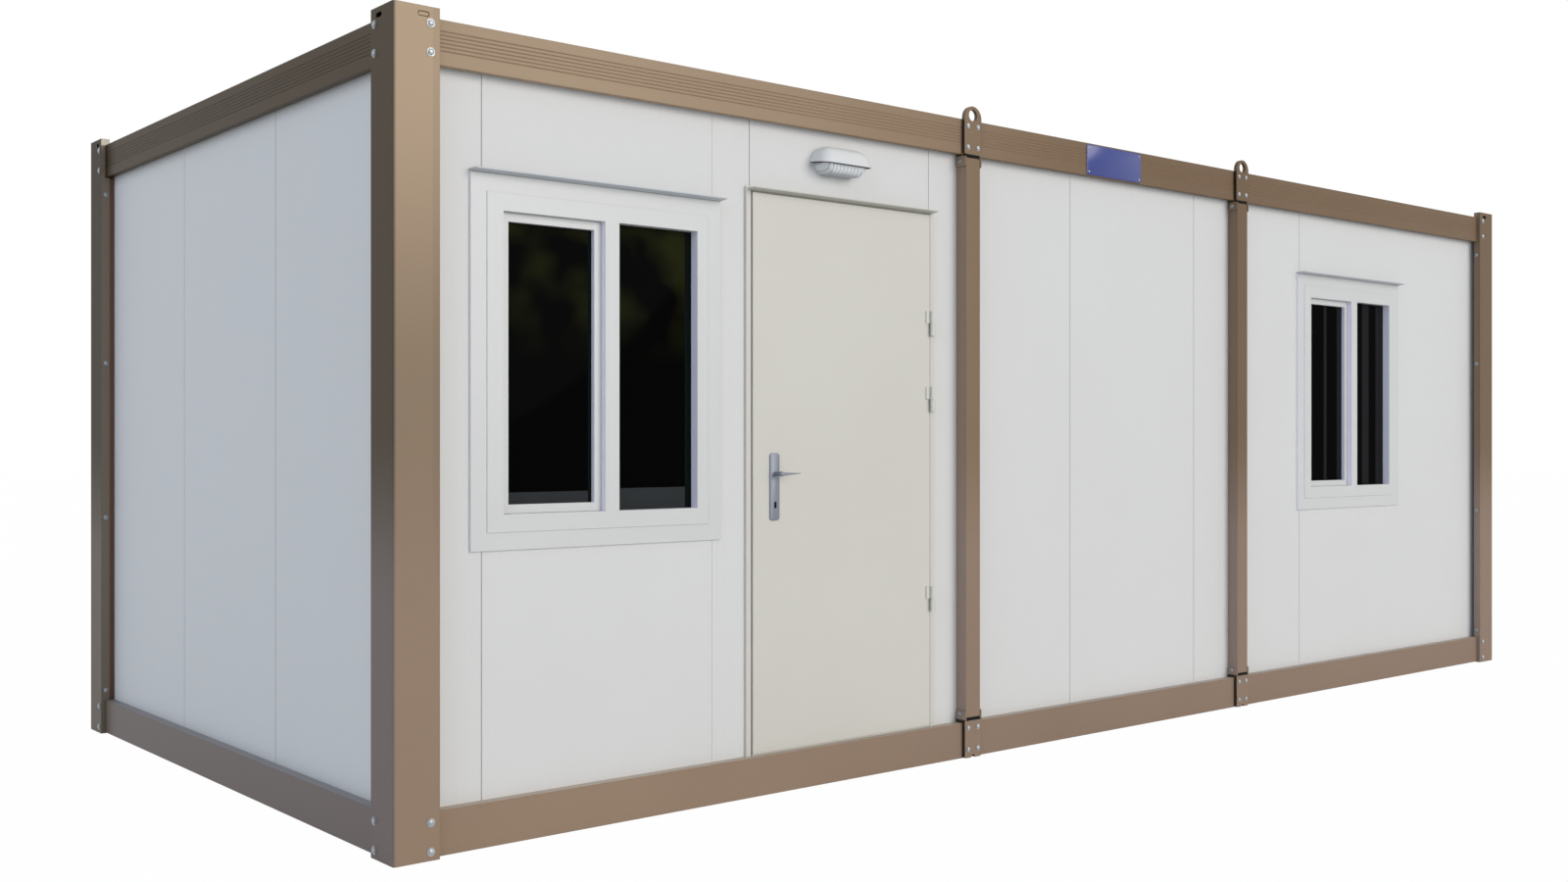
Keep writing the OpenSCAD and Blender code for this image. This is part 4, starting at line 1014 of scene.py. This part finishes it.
# Roof screws: a sealing washer and a straight head, on every rib over every purlin
roofScrew = {"ribPitch": 200 * mm, "ribs": 14, "purlins": 12, "span": 3300 * mm, "z": 2577 * mm,
             "washerR": 9 * mm, "washerH": 1.5 * mm, "headR": 5.5 * mm, "headH": 5 * mm,
             "sides": 12, "dome": ((1.0, 1.0),)}
screwXs = [-roofScrew["span"] + 2 * roofScrew["span"] * i / (roofScrew["purlins"] - 1)
           for i in range(roofScrew["purlins"])]
screwYs = [(j - (roofScrew["ribs"] - 1) / 2) * roofScrew["ribPitch"] for j in range(roofScrew["ribs"])]
screwPlaces = [((x, y, roofScrew["z"]), (0, 0, 0)) for x in screwXs for y in screwYs]
roofScrews = spreadCopies(makeBolt(roofScrew), screwPlaces, "roofScrews")
finishPiece(roofScrews, zincPlatedBolt, "cabin")

# Door seal on the stop, behind the leaf
doorSeal = {"half": 458 * mm, "z0": 152 * mm, "z1": 2198 * mm, "y": -1412 * mm, "t": 4.5 * mm,
            "w": 9 * mm, "edge": 1.2 * mm, "stripHalf": 457 * mm, "stripY": (-1455 * mm, -1443 * mm),
            "headZ": (2196.8 * mm, 2201 * mm), "footZ": (146 * mm, 150.8 * mm)}


def makeDoorSeal():
    low = (doorway["x"] - doorSeal["half"], doorSeal["y"] - doorSeal["t"], doorSeal["z0"])
    high = (doorway["x"] + doorSeal["half"], doorSeal["y"], doorSeal["z1"])
    piece = addBlock(low, high)
    editFaces(piece, lambda c, n: abs(n.y) > squareOn)
    bpy.ops.mesh.inset(thickness=doorSeal["w"])
    bpy.ops.mesh.bridge_edge_loops()
    endEdit()
    softenEdges(piece, doorSeal["edge"])
    finishPiece(joinAll([piece], "doorSeal"), greySealAndShade, "cabin")
    # Strips in the gaps over and under the leaf; the grey one over it stands for the soft painted shade under
    # the cap
    y0, y1 = doorSeal["stripY"]
    for name, material, (z0, z1) in (("headShadeStrip", greySealAndShade, doorSeal["headZ"]),
                                     ("footStrip", creamPowderCoat, doorSeal["footZ"])):
        strip = addBlock((doorway["x"] - doorSeal["stripHalf"], y0, z0),
                         (doorway["x"] + doorSeal["stripHalf"], y1, z1))
        softenEdges(strip, doorSeal["edge"])
        finishPiece(joinAll([strip], name), material, "cabin")


makeDoorSeal()

# Strips that close the gaps between the corner posts' lips and the end panels
lipStrip = {"xIn": (36 * mm, 56 * mm), "fromCorner": 155.5 * mm, "t": 2 * mm, "edge": 0.5 * mm,
            "z": (147 * mm, 2454 * mm)}


def makeLipStrips():
    strips = []
    for sx in (-1, 1):
        xs = sorted(sx * (cabin["halfL"] - inset) for inset in lipStrip["xIn"])
        for sy in (-1, 1):
            y = sy * (cabin["halfW"] - lipStrip["fromCorner"])
            ys = sorted((y, y + sy * lipStrip["t"]))
            strips.append(addBlock((xs[0], ys[0], lipStrip["z"][0]), (xs[1], ys[1], lipStrip["z"][1])))
    joined = joinAll(strips, "lipStrips")
    softenEdges(joined, lipStrip["edge"])
    finishPiece(joined, brownSealRubber, "cabin")


makeLipStrips()

# Stage, light and camera
stageSet = {"half": 60.0, "floorHex": "#e9e9e9", "floorLift": 0.985,
            "ambient": (0.33, 0.355, 0.385), "ambientLevel": 1.0}


# 1 for what the camera sees straight on, mirrored or through glass, and 0 for scattered light
def seenShare(tree):
    path = addNode(tree, "ShaderNodeLightPath", {}, {})
    share = path.outputs["Is Camera Ray"]
    for ray in ("Is Glossy Ray", "Is Transmission Ray"):
        share = addNode(tree, "ShaderNodeMath", {"operation": "MAXIMUM"}, {
            0: share, 1: path.outputs[ray]}).outputs[0]
    return share


def makeFloor():
    clearSelection()
    bpy.ops.mesh.primitive_plane_add(size=2 * stageSet["half"], location=(0, 0, 0))
    floor = bpy.context.active_object
    floor.name = "studioFloor"
    material, tree, shader, coords = newMaterial("paleStudioFloor", {
        "Base Color": linearColour(stageSet["floorHex"]), "Roughness": 0.9, "Specular IOR Level": 0.1})
    share = addNode(tree, "ShaderNodeMath", {"operation": "MULTIPLY"}, {
        0: seenShare(tree), 1: stageSet["floorLift"]})
    white = addNode(tree, "ShaderNodeEmission", {}, {"Color": (1, 1, 1, 1), "Strength": 1.0})
    mixed = addNode(tree, "ShaderNodeMixShader", {}, {
        0: share.outputs[0], 1: shader.outputs[0], 2: white.outputs[0]})
    tree.links.new(mixed.outputs[0], tree.nodes["Material Output"].inputs["Surface"])
    floor.data.materials.append(material)


def makeWorld():
    world = bpy.data.worlds.new("studioWorld")
    world.use_nodes = True
    bpy.context.scene.world = world
    tree = world.node_tree
    soft = addNode(tree, "ShaderNodeBackground", {}, {
        "Color": (*stageSet["ambient"], 1), "Strength": stageSet["ambientLevel"]})
    white = addNode(tree, "ShaderNodeBackground", {}, {"Color": (1, 1, 1, 1), "Strength": 1.0})
    mixed = addNode(tree, "ShaderNodeMixShader", {}, {
        0: seenShare(tree), 1: soft.outputs[0], 2: white.outputs[0]})
    tree.links.new(mixed.outputs[0], tree.nodes["World Output"].inputs["Surface"])


# Soft suns: where each comes from (azimuth from the front towards +X, elevation), level, colour, softness
suns = {
    "keySun": {"azimuth": 20, "elevation": 18, "level": 1.66, "colour": (1.0, 0.97, 0.92), "soft": 40},
    "fillSun": {"azimuth": -80, "elevation": 22, "level": 0.97, "colour": (0.7, 0.825, 1.0), "soft": 60},
    "backSun": {"azimuth": 150, "elevation": 30, "level": 0.66, "colour": (0.95, 0.97, 1.0), "soft": 60}}


def makeSuns():
    for name, sun in suns.items():
        light = bpy.data.lights.new(name, "SUN")
        light.energy = sun["level"]
        light.color = sun["colour"]
        light.angle = math.radians(sun["soft"])
        holder = bpy.data.objects.new(name, light)
        bpy.context.collection.objects.link(holder)
        holder.rotation_euler = (math.radians(90 - sun["elevation"]), 0, math.radians(sun["azimuth"]))


camera = {"place": (-5.6467, -5.8855, 1.2906), "turnDeg": (90, 0, -40.067), "lens": 36.0, "sensor": 36.0}


def makeCamera():
    data = bpy.data.cameras.new("photoCamera")
    data.lens = camera["lens"]
    data.sensor_width = camera["sensor"]
    data.sensor_fit = "HORIZONTAL"
    holder = bpy.data.objects.new("photoCamera", data)
    bpy.context.collection.objects.link(holder)
    holder.location = camera["place"]
    holder.rotation_euler = [math.radians(a) for a in camera["turnDeg"]]
    bpy.context.scene.camera = holder


makeFloor()
makeWorld()
makeSuns()
makeCamera()
bpy.context.scene.view_settings.view_transform = "Standard"
print("stage, light and camera set")
